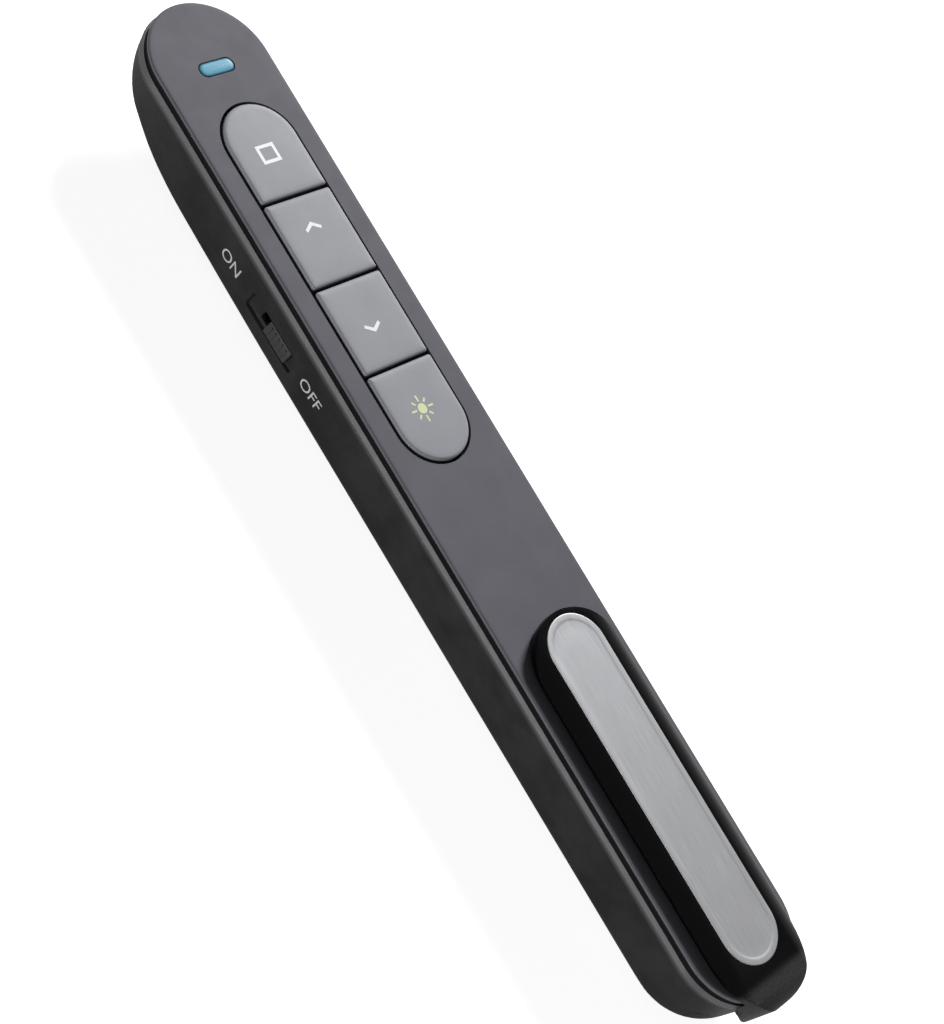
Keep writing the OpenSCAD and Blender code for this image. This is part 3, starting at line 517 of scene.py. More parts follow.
class Finish(Enum):
    """Every finish on the clicker."""

    COVER = MouldedPlastic((0.127, 0.127, 0.147), 0.6, 0.2, 0.012, 0.05, 0.08)
    BAND = MouldedPlastic((0.088, 0.088, 0.094), 0.45, 0.2, 0.008, 0.05, 0.3)
    # painted light: the shell is painted lighter towards its top edge, under the band
    SHELL = MouldedPlastic((0.019, 0.019, 0.019), 0.55, 0.5, 0.03, 0.3, 0.15, (10.05, 10.95), 3.8)
    # painted shade: the buttons' side walls, below the top edge, are painted darker
    BUTTON = MouldedPlastic((0.298, 0.307, 0.334), 0.5, 0.18, 0.006, 0.03, 0.15, (13.62, 13.44), 0.2)
    # painted shade: a near-black ring that stands in for the shadow in the groove under the cover
    SEAL = MouldedPlastic((0.004, 0.004, 0.004), 0.7, 0.3, 0.01, 0.2, 0.1)
    KNOB = MouldedPlastic((0.04, 0.04, 0.04), 0.5, 0.15, 0.01, 0.08, 0.3)
    INNER = MouldedPlastic((0.02, 0.02, 0.02), 0.5, 0.2, 0.008, 0.1, 0.3)
    CERAMIC = MouldedPlastic((0.5, 0.42, 0.32), 0.5, 0.1, 0.004, 0.1, 0.4)
    TONGUE = MouldedPlastic((0.72, 0.72, 0.7), 0.45, 0.2, 0.005, 0.04, 0.4)
    LAMP = MouldedPlastic((0.7, 0.78, 0.85), 0.25, 0.2, 0.004, 0.03, 0.5)
    # the clip's second colour is the root's, painted lighter as painted reflected light
    CLIP = ClipPlastic((0.0015, 0.0015, 0.002), (0.036, 0.036, 0.036), (74.8, 76.4))
    INSERT = BrushedMetal((0.224, 0.226, 0.234), 0.52)
    STEEL = PlatedMetal((0.62, 0.62, 0.6))
    SCREW = PlatedMetal((0.3, 0.3, 0.31), 0.35)
    BRASS = PlatedMetal((0.72, 0.52, 0.25), 0.3)
    BEZEL = PlatedMetal((0.55, 0.55, 0.57), 0.15)
    MAGNET = PlatedMetal((0.6, 0.6, 0.61), 0.18)
    BOARD = BoardMask((0.01, 0.09, 0.04))
    LENS = LensGlass((0.85, 0.92, 0.95))
    SIGN = SignInk((0.86, 0.87, 0.88))
    SUN_SIGN = SignInk((0.66, 0.72, 0.40))
    LETTER = SignInk((0.55, 0.55, 0.55))
    FLOOR = StudioFloor()

    @cached_property
    def look(self) -> Material:
        """The finish's material, built the first time it is asked for."""
        return self.value.material(self.name.lower())


# ---- mesh making


def arc(x: float, y: float, radius: float, start: float, end: float, steps: int = 12) -> list[Pair]:
    """Gives an arc's points round a centre, from one angle in degrees to another."""
    angles = (math.radians(start + (end - start) * i / steps) for i in range(steps + 1))
    return [(x + radius * math.cos(a), y + radius * math.sin(a)) for a in angles]


class Forge:
    """Collects loops of points in millimetres and turns them into one closed object."""

    def __init__(self) -> None:
        """Starts with no points."""
        self.points: list[Sequence[float]] = []
        self.faces: list[Sequence[int]] = []

    def loop(self, points: Sequence[Sequence[float]]) -> list[int]:
        """Adds a loop of points and gives their numbers."""
        self.points.extend(points)
        return list(range(len(self.points) - len(points), len(self.points)))

    def layers(self, outlines: Iterable[tuple[Sequence[Pair], float]]) -> list[list[int]]:
        """Adds a flat loop for each pair of an outline and its height."""
        return [self.loop([(x, y, z) for x, y in outline]) for outline, z in outlines]

    def bridge(self, first: list[int], second: list[int]) -> None:
        """Joins two equally long loops with a band of quads."""
        for a, b, c, d in zip(first, first[1:] + first[:1], second[1:] + second[:1], second):
            self.faces.append((a, b, c, d))

    def stack(self, loops: Sequence[list[int]], cap_ends: bool = True) -> Forge:
        """Joins loops in order.

        Args:
            loops: equally long loops.
            cap_ends: whether one face closes the first, and one the last.

        Returns:
            The forge itself.
        """
        for first, second in zip(loops, loops[1:]):
            self.bridge(first, second)
        if cap_ends:
            self.faces += [loops[0], loops[-1]]
        return self

    def prism(self, outline: Sequence[Pair], along: str, low: float, high: float) -> Forge:
        """Pushes an outline along an axis.

        Args:
            outline: (x, y) points for Z, (x, z) points for Y or (y, z) points for X.
            along: the axis.
            low: where the prism starts on it.
            high: where it ends.

        Returns:
            The forge itself.
        """
        turn = {"X": (2, 0, 1), "Y": (0, 2, 1), "Z": (0, 1, 2)}[along]
        return self.stack([self.loop([[(u, v, reach)[axis] for axis in turn] for u, v in outline])
                           for reach in (low, high)])

    def box(self, low: Point, high: Point) -> Forge:
        """Adds a block given by its two corners."""
        (x0, y0, z0), (x1, y1, z1) = low, high
        return self.prism([(y0, z0), (y1, z0), (y1, z1), (y0, z1)], "X", x0, x1)

    def twins(self, *blocks: tuple[Point, Point]) -> Forge:
        """Adds blocks on the side of +Y and, before them, their mirror images across the middle.

        Args:
            *blocks: the low and the high corner of each.

        Returns:
            The forge itself.
        """
        mirrored = [((x0, -y1, z0), (x1, -y0, z1)) for (x0, y0, z0), (x1, y1, z1) in blocks]
        for low, high in (*mirrored, *blocks):
            self.box(low, high)
        return self

    def tube(self, start: Point, along: str, radius: float, length: float, count: int = 48) -> Forge:
        """Adds a cylinder.

        Args:
            start: the middle of the end it starts from.
            along: its axis, X or Z.
            radius: its radius.
            length: its length.
            count: the number of its sides.

        Returns:
            The forge itself.
        """
        *centre, low = start if along == "Z" else (*start[1:], start[0])
        return self.prism(arc(*centre, radius, 0.0, 360.0, count)[:-1], along, low, low + length)

    def build(self, name: str, crease: float = 35.0, weld: float = 0.0005) -> Thing:
        """Makes the object.

        Args:
            name: the object's name.
            crease: the angle in degrees past which an edge stays sharp.
            weld: the distance in millimetres within which points are merged.

        Returns:
            The object, linked to the scene, with outward normals.
        """
        mesh = bpy.data.meshes.new(name)
        mesh.from_pydata([[c * MM for c in p] for p in self.points], [], self.faces)
        work = bmesh.new()
        work.from_mesh(mesh)
        bmesh.ops.remove_doubles(work, verts=work.verts, dist=weld * MM)
        bmesh.ops.dissolve_degenerate(work, dist=weld * MM * 0.5, edges=work.edges)
        bmesh.ops.recalc_face_normals(work, faces=work.faces)
        work.to_mesh(mesh)
        work.free()
        made = linked(bpy.data.objects.new(name, mesh))
        soften(made, crease)
        return made


def linked(thing: Thing) -> Thing:
    """Links an object to the scene."""
    bpy.context.scene.collection.objects.link(thing)
    return thing


def soften(piece: Thing, crease: float) -> None:
    """Shades a piece smooth except at edges sharper than crease degrees."""
    piece.data.shade_smooth()
    piece.data.set_sharp_from_angle(angle=math.radians(crease))


def evaluated(piece: Thing) -> bpy.types.Mesh:
    """Gives a piece's mesh as its modifiers or its type make it."""
    bpy.context.view_layer.update()
    return bpy.data.meshes.new_from_object(piece.evaluated_get(bpy.context.evaluated_depsgraph_get()))


def settled(piece: Thing, crease: float = 35.0) -> Thing:
    """Turns a piece's modifiers into plain mesh.

    Args:
        piece: the object with its modifiers.
        crease: the angle in degrees past which an edge stays sharp.

    Returns:
        The same object.
    """
    mesh = evaluated(piece)
    piece.modifiers.clear()
    old, piece.data = piece.data, mesh
    bpy.data.meshes.remove(old)
    soften(piece, crease)
    return piece


def carve(piece: Thing, *cutters: Thing, operation: str = "DIFFERENCE") -> Thing:
    """Cuts or intersects a piece.

    Args:
        piece: the object that is cut.
        *cutters: the objects that cut it, which are used up.
        operation: the Boolean modifier's operation.

    Returns:
        The piece.
    """
    for cutter in cutters:
        made = piece.modifiers.new("cut", "BOOLEAN")
        made.operation, made.solver, made.object = operation, "EXACT", cutter
    settled(piece)
    for cutter in cutters:
        bpy.data.objects.remove(cutter)
    return piece


def eased(piece: Thing, width: float, segments: int = 2, angle: float = 35.0,
          crease: float = 50.0) -> Thing:
    """Rounds a piece's sharp edges.

    Args:
        piece: the object.
        width: the width of the rounding in millimetres.
        segments: the number of its steps.
        angle: the angle in degrees past which an edge is rounded.
        crease: the angle past which an edge of the result stays sharp.

    Returns:
        The piece.
    """
    made = piece.modifiers.new("ease", "BEVEL")
    made.width, made.segments = width * MM, segments
    made.limit_method, made.angle_limit = "ANGLE", math.radians(angle)
    made.miter_outer = "MITER_ARC"
    return settled(piece, crease)


def moved(piece: Thing, spot: Sequence[float], degrees: float = 0.0, axis: str = "Z") -> Thing:
    """Turns a piece's mesh about the origin, then shifts it.

    Args:
        piece: the object.
        spot: where the origin of its mesh goes, in millimetres.
        degrees: the angle of the turn.
        axis: the axis of the turn.

    Returns:
        The piece.
    """
    turn = Matrix.Rotation(math.radians(degrees), 4, axis)
    piece.data.transform(Matrix.Translation(Vector(spot) * MM) @ turn)
    return piece


def place(piece: Thing, body: str, finish: Material, slot: str, *nodes: str) -> None:
    """Dresses a piece, puts it on its body and hides the nodes that it stands for.

    Args:
        piece: the finished object.
        body: the name of the body it rides on.
        finish: its material.
        slot: the name of its material slot; not used.
        *nodes: the nodes that it replaces.
    """
    piece.data.materials.clear()
    piece.data.materials.append(finish)
    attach(piece, body)
    if nodes:
        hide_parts(*nodes)
    LOG.info("%s rides on %s with %d faces", piece.name, body, len(piece.data.polygons))


def span(name: str) -> tuple[Vector, Vector]:
    """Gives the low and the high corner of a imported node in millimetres."""
    low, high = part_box(name)
    return Vector(low) / MM, Vector(high) / MM


@dataclass
class Slab:
    """A closed block along X with a radius at each end, by default a full round."""

    low: float
    high: float
    half: float
    near: float = math.inf
    far: float = math.inf
    steps: int = 12
    least: float = 0.05

    def outline(self, inset: float) -> list[Pair]:
        """Draws the outline.

        Args:
            inset: how far it is moved in.

        Returns:
            Its points, counter-clockwise.
        """
        low, high, half = self.low + inset, self.high - inset, self.half - inset
        near, far = (min(max(radius - inset, self.least), half) for radius in (self.near, self.far))
        return [
            *arc(high - far, half - far, far, 0, 90, self.steps),
            *arc(low + near, half - near, near, 90, 180, self.steps),
            *arc(low + near, near - half, near, 180, 270, self.steps),
            *arc(high - far, far - half, far, 270, 360, self.steps),
        ]

    def build(self, name: str, levels: Levels, crease: float = 35.0) -> Thing:
        """Stacks the outline at (inset, height) levels, from the bottom to the top."""
        forge = Forge()
        return forge.stack(forge.layers((self.outline(i), z) for i, z in levels)).build(name, crease)


class Pattern(Tree):
    """A Geometry Nodes tree with named sizes, run once into a plain mesh."""

    def __init__(self, name: str) -> None:
        """Starts a tree with one geometry output.

        Args:
            name: the name of the tree and of its object.
        """
        super().__init__(bpy.data.node_groups.new(name, "GeometryNodeTree"))
        self.name = name
        self.tree.interface.new_socket("Geometry", in_out="OUTPUT", socket_type="NodeSocketGeometry")
        self.entry = self.node("NodeGroupInput")
        self.values: dict[str, float] = {}

    def size(self, name: str, value: float) -> Socket:
        """Adds a named input.

        Args:
            name: the input's name.
            value: its value, a whole number or metres.

        Returns:
            Its socket inside the tree.
        """
        kind = "NodeSocketInt" if isinstance(value, int) else "NodeSocketFloat"
        item = self.tree.interface.new_socket(name, in_out="INPUT", socket_type=kind)
        self.values[item.identifier] = value
        return self.entry.outputs[name]

    def row(self, count: Socket, start: Point, pitch: Socket) -> Wire:
        """Sets points in a row along X.

        Args:
            count: the number of points.
            start: the first point, in millimetres.
            pitch: the distance between two.

        Returns:
            The wire that carries the points.
        """
        step = self.wire("ShaderNodeCombineXYZ", {0: pitch})
        sockets = {"Count": count, "Start Location": tuple(c * MM for c in start), "Offset": step}
        return self.wire("GeometryNodeMeshLine", sockets, mode="OFFSET")

    def pipe(self, path: Wire, radius: Socket, sides: int) -> Wire:
        """Sweeps a circle along a path and closes its ends."""
        ring = self.wire("GeometryNodeCurvePrimitiveCircle", {"Resolution": sides, "Radius": radius})
        return self.wire("GeometryNodeCurveToMesh", {"Curve": path, "Profile Curve": ring, "Fill Caps": True})

    def shift(self, geometry: Wire, spot: Point) -> Wire:
        """Moves geometry by millimetres."""
        sockets = {"Geometry": geometry, "Translation": tuple(c * MM for c in spot)}
        return self.wire("GeometryNodeTransform", sockets)

    def spread(self, points: Wire, model: Wire) -> Wire:
        """Sets a copy of a model on each point."""
        return self.wire("GeometryNodeInstanceOnPoints", {"Points": points, "Instance": model})

    def run(self, geometry: Wire, finish: Material, crease: float = 40.0) -> Thing:
        """Ends the tree, runs it and gives its result as a plain mesh.

        Args:
            geometry: the wire that carries the result.
            finish: the material set on it.
            crease: the angle in degrees past which an edge stays sharp.

        Returns:
            The object.
        """
        real = self.wire("GeometryNodeRealizeInstances", {"Geometry": geometry})
        painted = self.wire("GeometryNodeSetMaterial", {"Geometry": real, "Material": finish})
        self.node("NodeGroupOutput", {0: painted})
        made = linked(bpy.data.objects.new(self.name, bpy.data.meshes.new(self.name)))
        modifier = made.modifiers.new("grow", "NODES")
        modifier.node_group = self.tree
        for identifier, value in self.values.items():
            modifier[identifier] = value
        return settled(made, crease)


# ---- the pieces


@dataclass
class Hull:
    """The boat-shaped body: a stadium in plan, upswept at nose and tail."""

    nose: float
    tail: float
    half: float
    top: float
    wall: float = 1.25
    corner: float = 3.0
    lean: float = 0.6
    nose_radius: float = 46.0
    nose_length: float = 27.0
    nose_rise: float = 1.5
    rise_start: float = -22.1
    tail_radius: float = 36.0
    tail_length: float = 17.4
    blend: float = 1.2
    arc_steps: int = 40
    straight_steps: int = 90
    side_steps: int = 12
    corner_steps: int = 10
    floor_steps: int = 5

    @property
    def slope(self) -> float:
        """The angle by which the side walls lean, in radians."""
        return math.atan(self.lean / self.top)

    def plan(self, radius: float) -> list[Pair]:
        """Gives the stadium in plan.

        Args:
            radius: the radius of its two ends.

        Returns:
            The points all round.
        """
        first, last = self.nose + self.half, self.tail - self.half
        shares = [i / self.straight_steps for i in range(self.straight_steps)]
        return [
            *arc(last, 0.0, radius, -90.0, 90.0, self.arc_steps)[:-1],
            *((last + (first - last) * share, radius) for share in shares),
            *arc(first, 0.0, radius, 90.0, 270.0, self.arc_steps)[:-1],
            *((first + (last - first) * share, -radius) for share in shares),
        ]

    def floor(self, x: float, inset: float) -> float:
        """Gives the height of the underside: an arc, a slant, a flat and an arc.

        Args:
            x: where along the body.
            inset: how far the surface is moved in.

        Returns:
            The height.
        """
        start, end = self.nose + self.nose_length, self.tail - self.tail_length
        slope = math.atan(self.nose_rise / (self.rise_start - start))
        if x > end:
            return self._swept_up(x - end, self.tail_radius, self.tail_radius, inset)
        if x < start + inset * math.sin(slope):
            run = start + self.nose_radius * math.sin(slope) - x
            centre = self.nose_rise + self.nose_radius * math.cos(slope)
            return self._swept_up(run, self.nose_radius, centre, inset)
        return max(inset, (self.rise_start - x) * math.tan(slope) + inset / math.cos(slope))

    def _swept_up(self, run: float, radius: float, centre: float, inset: float) -> float:
        """Gives an arc's height at a run from its centre, or a height above the body past its end."""
        reach = radius - inset
        return self.top + 1.0 if run >= reach else centre - math.sqrt(reach * reach - run * run)

    def section(self, inset: float) -> list[Pair]:
        """Gives the cross-section of one side.

        Args:
            inset: how far the surface is moved in.

        Returns:
            (distance from the middle, height) points from the wall's top down to the middle.
        """
        slope, radius = self.slope, self.corner - inset
        centre = self.half - (self.top - self.corner) * math.tan(slope) - self.corner / math.cos(slope)
        side = centre + radius * math.cos(slope)
        low = self.corner - radius * math.sin(slope)
        heights = (self.top + (low - self.top) * i / self.side_steps for i in range(self.side_steps))
        return [
            *((side + (z - low) * math.tan(slope), z) for z in heights),
            *arc(centre, self.corner, radius, -math.degrees(slope), -90.0, self.corner_steps),
            *((centre * (1 - i / self.floor_steps), inset) for i in range(1, self.floor_steps + 1)),
        ]

    def _lift(self, z: float, x: float, inset: float, row: float) -> float:
        """Raises a section's height to the swept underside with a soft change of surface.

        Args:
            z: the section's height.
            x: where along the body.
            inset: how far the surface is moved in.
            row: the share of the way from the top to the middle.

        Returns:
            The new height.
        """
        floor = self.floor(x, inset)
        risen = min(1.0, (floor - inset) / self.blend)
        soft = risen * max(0.0, self.blend - abs(z - floor)) ** 2 / (4.0 * self.blend)
        return min(max(z, floor) + soft, self.top - 0.2 * row)

    def rows(self, forge: Forge, inset: float) -> list[list[int]]:
        """Adds the loops of the surface.

        Args:
            forge: the forge that takes them.
            inset: how far the surface is moved in.

        Returns:
            The loops, from the top down to the middle.
        """
        section = self.section(inset)
        (radius, _), *others = section
        loops = forge.layers([(self.plan(radius), self.top)])
        for number, (radius, z) in enumerate(others, 1):
            row = number / len(others)
            loops.append(forge.loop([(x, y, self._lift(z, x, inset, row)) for x, y in self.plan(radius)]))
        return loops

    def skin(self, name: str) -> Thing:
        """Makes the hollow shell, open at the top; the weld closes its middle line.

        Args:
            name: the object's name.

        Returns:
            The object.
        """
        forge = Forge()
        outer, inner = self.rows(forge, 0.0), self.rows(forge, self.wall)
        forge.stack(outer, cap_ends=False).stack(inner, cap_ends=False)
        forge.bridge(outer[0], inner[0])
        return forge.build(name, 50.0, 0.002)

    def swept(self, name: str, profile: Levels) -> Thing:
        """Sweeps a closed profile round the plan.

        Args:
            name: the object's name.
            profile: its (distance from the edge, height) points.

        Returns:
            The ring.
        """
        forge = Forge()
        loops = forge.layers((self.plan(self.half + out), z) for out, z in profile)
        return forge.stack(loops + loops[:1], cap_ends=False).build(name)


@dataclass
class Shell:
    """The black bottom shell with its openings, ribs and screws."""

    hull: Hull
    screw_y: float = 6.4
    screw_nose: float = -65.9
    screw_middle: float = 3.2
    counterbore: float = 1.75
    boss: float = 2.3
    door_start: float = 8.0
    door_half: float = 7.4
    door_top: float = 5.9
    runner: Pair = (1.7, 2.55)
    runner_depth: float = 0.7
    bay: Pair = (8.5, 58.5)
    bay_wall: float = 1.5
    cell_radius: float = 5.45
    cell_height: float = 6.7
    saddles: Sequence[float] = (0.2, 0.5, 0.8)
    saddle_width: float = 1.2
    recess: Pair = (-20.9, -0.7)
    recess_half: float = 7.6
    recess_top: float = 6.3
    recess_wall: float = 0.8
    recess_end: float = 1.3
    slider_x: float = -32.9
    slider_z: float = 5.8
    slider_length: float = 11.6
    slider_height: float = 3.2
    slot_half: Pair = (3.0, 0.9)
    beam_z: float = 8.5
    beam_radius: float = 2.05
    foot: Pair = (7.8, 9.85)
    foot_half: float = 3.3

    def make(self) -> None:
        """Builds the shell with its openings, and its ribs."""
        hull = self.hull
        shell = hull.skin("shell_hull")
        past, start, half, wide = hull.tail + 1, self.door_start, self.door_half, hull.half
        groove, (length, tall) = half + self.runner_depth, self.slot_half
        x, z = self.slider_x, self.slider_z
        reach, round_end = self.slider_length / 2, 0.5
        slider = Slab(x - reach, x + reach, self.slider_height / 2, round_end, round_end, 6)
        screws = [(a, b) for a in (self.screw_nose, self.screw_middle) for b in (-self.screw_y, self.screw_y)]
        carve(
            shell,
            Forge().box((start, -half, -1), (past, half, self.door_top)).build("door_opening"),
            Forge().box((self.recess[0], -self.recess_half, -1), (self.recess[1], self.recess_half, 3))
            .build("receiver_opening"),
            Forge().tube((hull.nose - 1, 0, self.beam_z), "X", self.beam_radius, 9).build("beam_opening"),
            Forge().box((hull.tail - 6, -self.foot_half, self.foot[0]), (past, self.foot_half, self.foot[1]))
            .build("foot_slot"),
            Forge().box((start, -groove, self.runner[0]), (past, groove, self.runner[1]))
            .build("runner_grooves"),
            Forge().box((x - length, -wide - 1, z - tall), (x + length, 3 - wide, z + tall))
            .build("slider_slot"),
            moved(slider.build("slider_recess", [(0.0, 0.0), (0.0, 2.0)]), (0, -wide - 1, z), -90, "X"),
            *[Forge().tube((*spot, -1), "Z", self.counterbore, 6).build("counterbore") for spot in screws],
        )
        place(eased(shell, 0.12), "housing", Finish.SHELL.look, "shell_plastic", "bottom_shell")
        ribs = self._ribs()
        for spot in screws:
            ribs.tube((*spot, 5.0), "Z", self.boss, 1.85)
        place(eased(ribs.build("shell_ribs"), 0.08, 1), "housing", Finish.INNER.look, "shell_plastic")

    def _ribs(self) -> Forge:
        """Adds up what stands inside the shell: the bay's walls and saddles, and the recess's walls.

        Returns:
            The forge that holds it.
        """
        forge = Forge()
        start, end = self.bay
        edge, top = self.hull.half - self.hull.wall - 0.35, self.cell_height + 3
        for x in (start - self.bay_wall, end):
            forge.box((x, -edge, self.door_top), (x + self.bay_wall, edge, top))
        for share in self.saddles:
            x = start + share * (end - start)
            forge.twins(((x, self.cell_radius, self.door_top), (x + self.saddle_width, edge, top - 0.6)))
        (x0, x1), y, wall, roof = self.recess, self.recess_half, self.recess_wall, self.recess_top
        low, back, side, far = self.hull.wall - 0.1, x0 - wall, y + wall, x1 + self.recess_end
        forge.box((back, -side, roof), (far, side, roof + wall))
        forge.box((back, -side, low), (x0, side, roof)).box((x1, -side, low), (far, side, roof))
        return forge.twins(((x0, y, low), (x1, side, roof)))


@dataclass
class Cover:
    """The dark grey cover, the light band under it and the indicator window."""

    hull: Hull
    top: float
    edge_in: float = 0.15
    edge_round: float = 0.4
    edge_height: float = 0.5
    groove: float = 0.3
    plate: float = 1.25
    strip: Pair = (-62.7, -5.3)
    strip_half: float = 6.15
    gap: float = 0.42
    window_x: float = -69.1
    window_half: Pair = (1.1, 3.1)
    window_gap: float = 0.05

    def make(self) -> None:
        """Builds the cover, the band and the window."""
        self._plate()
        self._band()
        self._window()

    def _plate(self) -> None:
        """Builds the cover plate with its two openings."""
        hull, inset, top = self.hull, self.edge_in, self.top
        under = top - self.edge_height
        levels = [(0.5, top - self.plate), (0.5, under), (0.06, under), (0.0, under + 0.06)]
        levels += arc(self.edge_round, top - self.edge_round, self.edge_round, 180.0, 90.0, 6)
        levels.append((self.edge_round + 0.5, top))
        body = Slab(hull.nose + inset, hull.tail - inset, hull.half - inset, steps=32)
        (low, high), gap = self.strip, self.gap
        aperture = Slab(low - gap, high + gap, self.strip_half + gap, steps=24)
        across, along = (half + self.window_gap for half in self.window_half)
        opening = Slab(-along, along, across, self.window_half[0], self.window_half[0])
        through = [(0.0, top - 3), (0.0, top + 1)]
        hole = moved(opening.build("window_hole", through), (self.window_x, 0, 0), 90)
        plate = carve(body.build("cover_plate", levels, 40.0), aperture.build("strip_hole", through), hole)
        place(eased(plate, 0.1, crease=20.0), "housing", Finish.COVER.look, "cover_plastic", "top_cover")

    def _band(self) -> None:
        """Builds the light band on the shell and a near-black ring of painted shade in the groove between it
        and the cover.
        """
        low, high = self.hull.top, self.top - self.edge_height - self.groove
        ledge, inner, seat = high - 0.75, -1.25, -0.42
        band = self.hull.swept("trim_ring", [
            (inner, low), (-0.03, low), (0.08, low + 0.06), (0.1, low + 0.16), (0.06, low + 0.24),
            (-0.1, low + 0.45), (-0.14, ledge - 0.08), (-0.2, ledge), (inner, ledge),
        ])
        place(band, "housing", Finish.BAND.look, "band_plastic", "trim_band")
        # painted shade: a near-black ring fills the groove where the cover's edge casts its shadow
        shade_ring_levels = [(inner, ledge - 0.1), (seat, ledge - 0.1), (seat, high), (inner, high)]
        place(self.hull.swept("cover_seal", shade_ring_levels), "housing", Finish.SEAL.look, "band_plastic")

    def _window(self) -> None:
        """Builds the indicator window with a softly domed face."""
        (half_x, half_y), top = self.window_half, self.top
        levels = [(0.0, top - 1.9), (0.0, top - 0.12), (0.08, top - 0.03), (0.3, top + 0.02),
                  (0.7, top + 0.05)]
        pane = Slab(-half_y, half_y, half_x).build("window_pane", levels, 50.0)
        moved(pane, (self.window_x, 0, 0), 90)
        look = LampWindow((0.072, 0.27, 0.38), (0.01, 0.05, 0.07), self.window_x, self.window_half)
        place(pane, "housing", look.material("indicator"), "window_plastic", "indicator_window")


class Sign(Enum):
    """What is printed on a button, and how far its middle is from the button's."""

    SQUARE = 0.65
    NOSE_CARET = -2.1
    TAIL_CARET = 1.0
    SUN = -0.6


@dataclass
class Button:
    """One button of the strip, with its printed sign."""

    node: str
    body: str
    low: float
    high: float
    half: float
    top: float
    sign: Sign
    near: float = 0.45
    far: float = 0.45
    edge: float = 0.5
    offset: float = -0.5
    ink: Pair = (-0.05, 0.055)
    frame: Sequence[Pair] = ((1.45, 1.65), (0.95, 1.15))
    caret: Point = (1.0, 1.5, 0.42)
    disc: float = 0.78
    rays: Sequence[float] = (2.05, 1.8) * 4
    ray_start: float = 1.08
    ray_half: float = 0.15

    def make(self) -> None:
        """Builds the cap and its sign."""
        edge, top = self.edge, self.top
        levels = [(0.0, top - 3.2), (0.0, top - edge), *arc(edge, top - edge, edge, 180.0, 90.0, 5)[1:]]
        levels += [(edge + 0.6, top + 0.015), (edge + 1.6, top + 0.03), (edge + 3.0, top + 0.04)]
        cap = Slab(self.low, self.high, self.half, self.near, self.far, 16, 0.12)
        piece = cap.build(self.node + "_cap", levels, 40.0)
        place(piece, self.body, Finish.BUTTON.look, "button_plastic", self.node)
        finish = Finish.SUN_SIGN if self.sign is Sign.SUN else Finish.SIGN
        draw = {Sign.SQUARE: self._square, Sign.SUN: self._sun}.get(self.sign, self._arrow)
        sign = draw((self.low + self.high) / 2 + self.sign.value).build(self.node + "_sign")
        place(moved(sign, (0.0, self.offset, 0.0)), self.body, finish.look, "button_plastic")

    def _printed(self, forge: Forge, outline: Sequence[Pair]) -> Forge:
        """Adds a flat printed shape."""
        return forge.prism(outline, "Z", self.top + self.ink[0], self.top + self.ink[1])

    def _square(self, x: float) -> Forge:
        """Draws an outlined square.

        Args:
            x: where its middle is.

        Returns:
            The forge that holds it.
        """
        forge = Forge()
        outer, inner = (
            forge.layers(([(x - a, -b), (x + a, -b), (x + a, b), (x - a, b)], self.top + z) for z in self.ink)
            for a, b in self.frame
        )
        return forge.stack([*outer, *inner[::-1], outer[0]], cap_ends=False)

    def _arrow(self, x: float) -> Forge:
        """Draws an open arrow head that points to the nose or the tail.

        Args:
            x: where its middle is.

        Returns:
            The forge that holds it.
        """
        reach, spread, width = self.caret
        way = -1 if self.sign is Sign.NOSE_CARET else 1
        tip, wing = x + way * reach / 2, way * (reach + width)
        return self._printed(Forge(), [
            (tip, 0.0), (tip - way * reach, spread), (tip - wing, spread - width / 2),
            (tip - way * width * 1.5, 0.0), (tip - wing, width / 2 - spread), (tip - way * reach, -spread),
        ])

    def _sun(self, x: float) -> Forge:
        """Draws a small disc with rays.

        Args:
            x: where its middle is.

        Returns:
            The forge that holds it.
        """
        forge = self._printed(Forge(), arc(x, 0.0, self.disc, 0.0, 360.0, 24)[:-1])
        for number, end in enumerate(self.rays):
            turn = math.tau * number / len(self.rays)
            cos, sin, start, half = math.cos(turn), math.sin(turn), self.ray_start, self.ray_half
            bar = ((start, -half), (end, -half), (end, half), (start, half))
            self._printed(forge, [(x + u * cos - v * sin, u * sin + v * cos) for u, v in bar])
        return forge


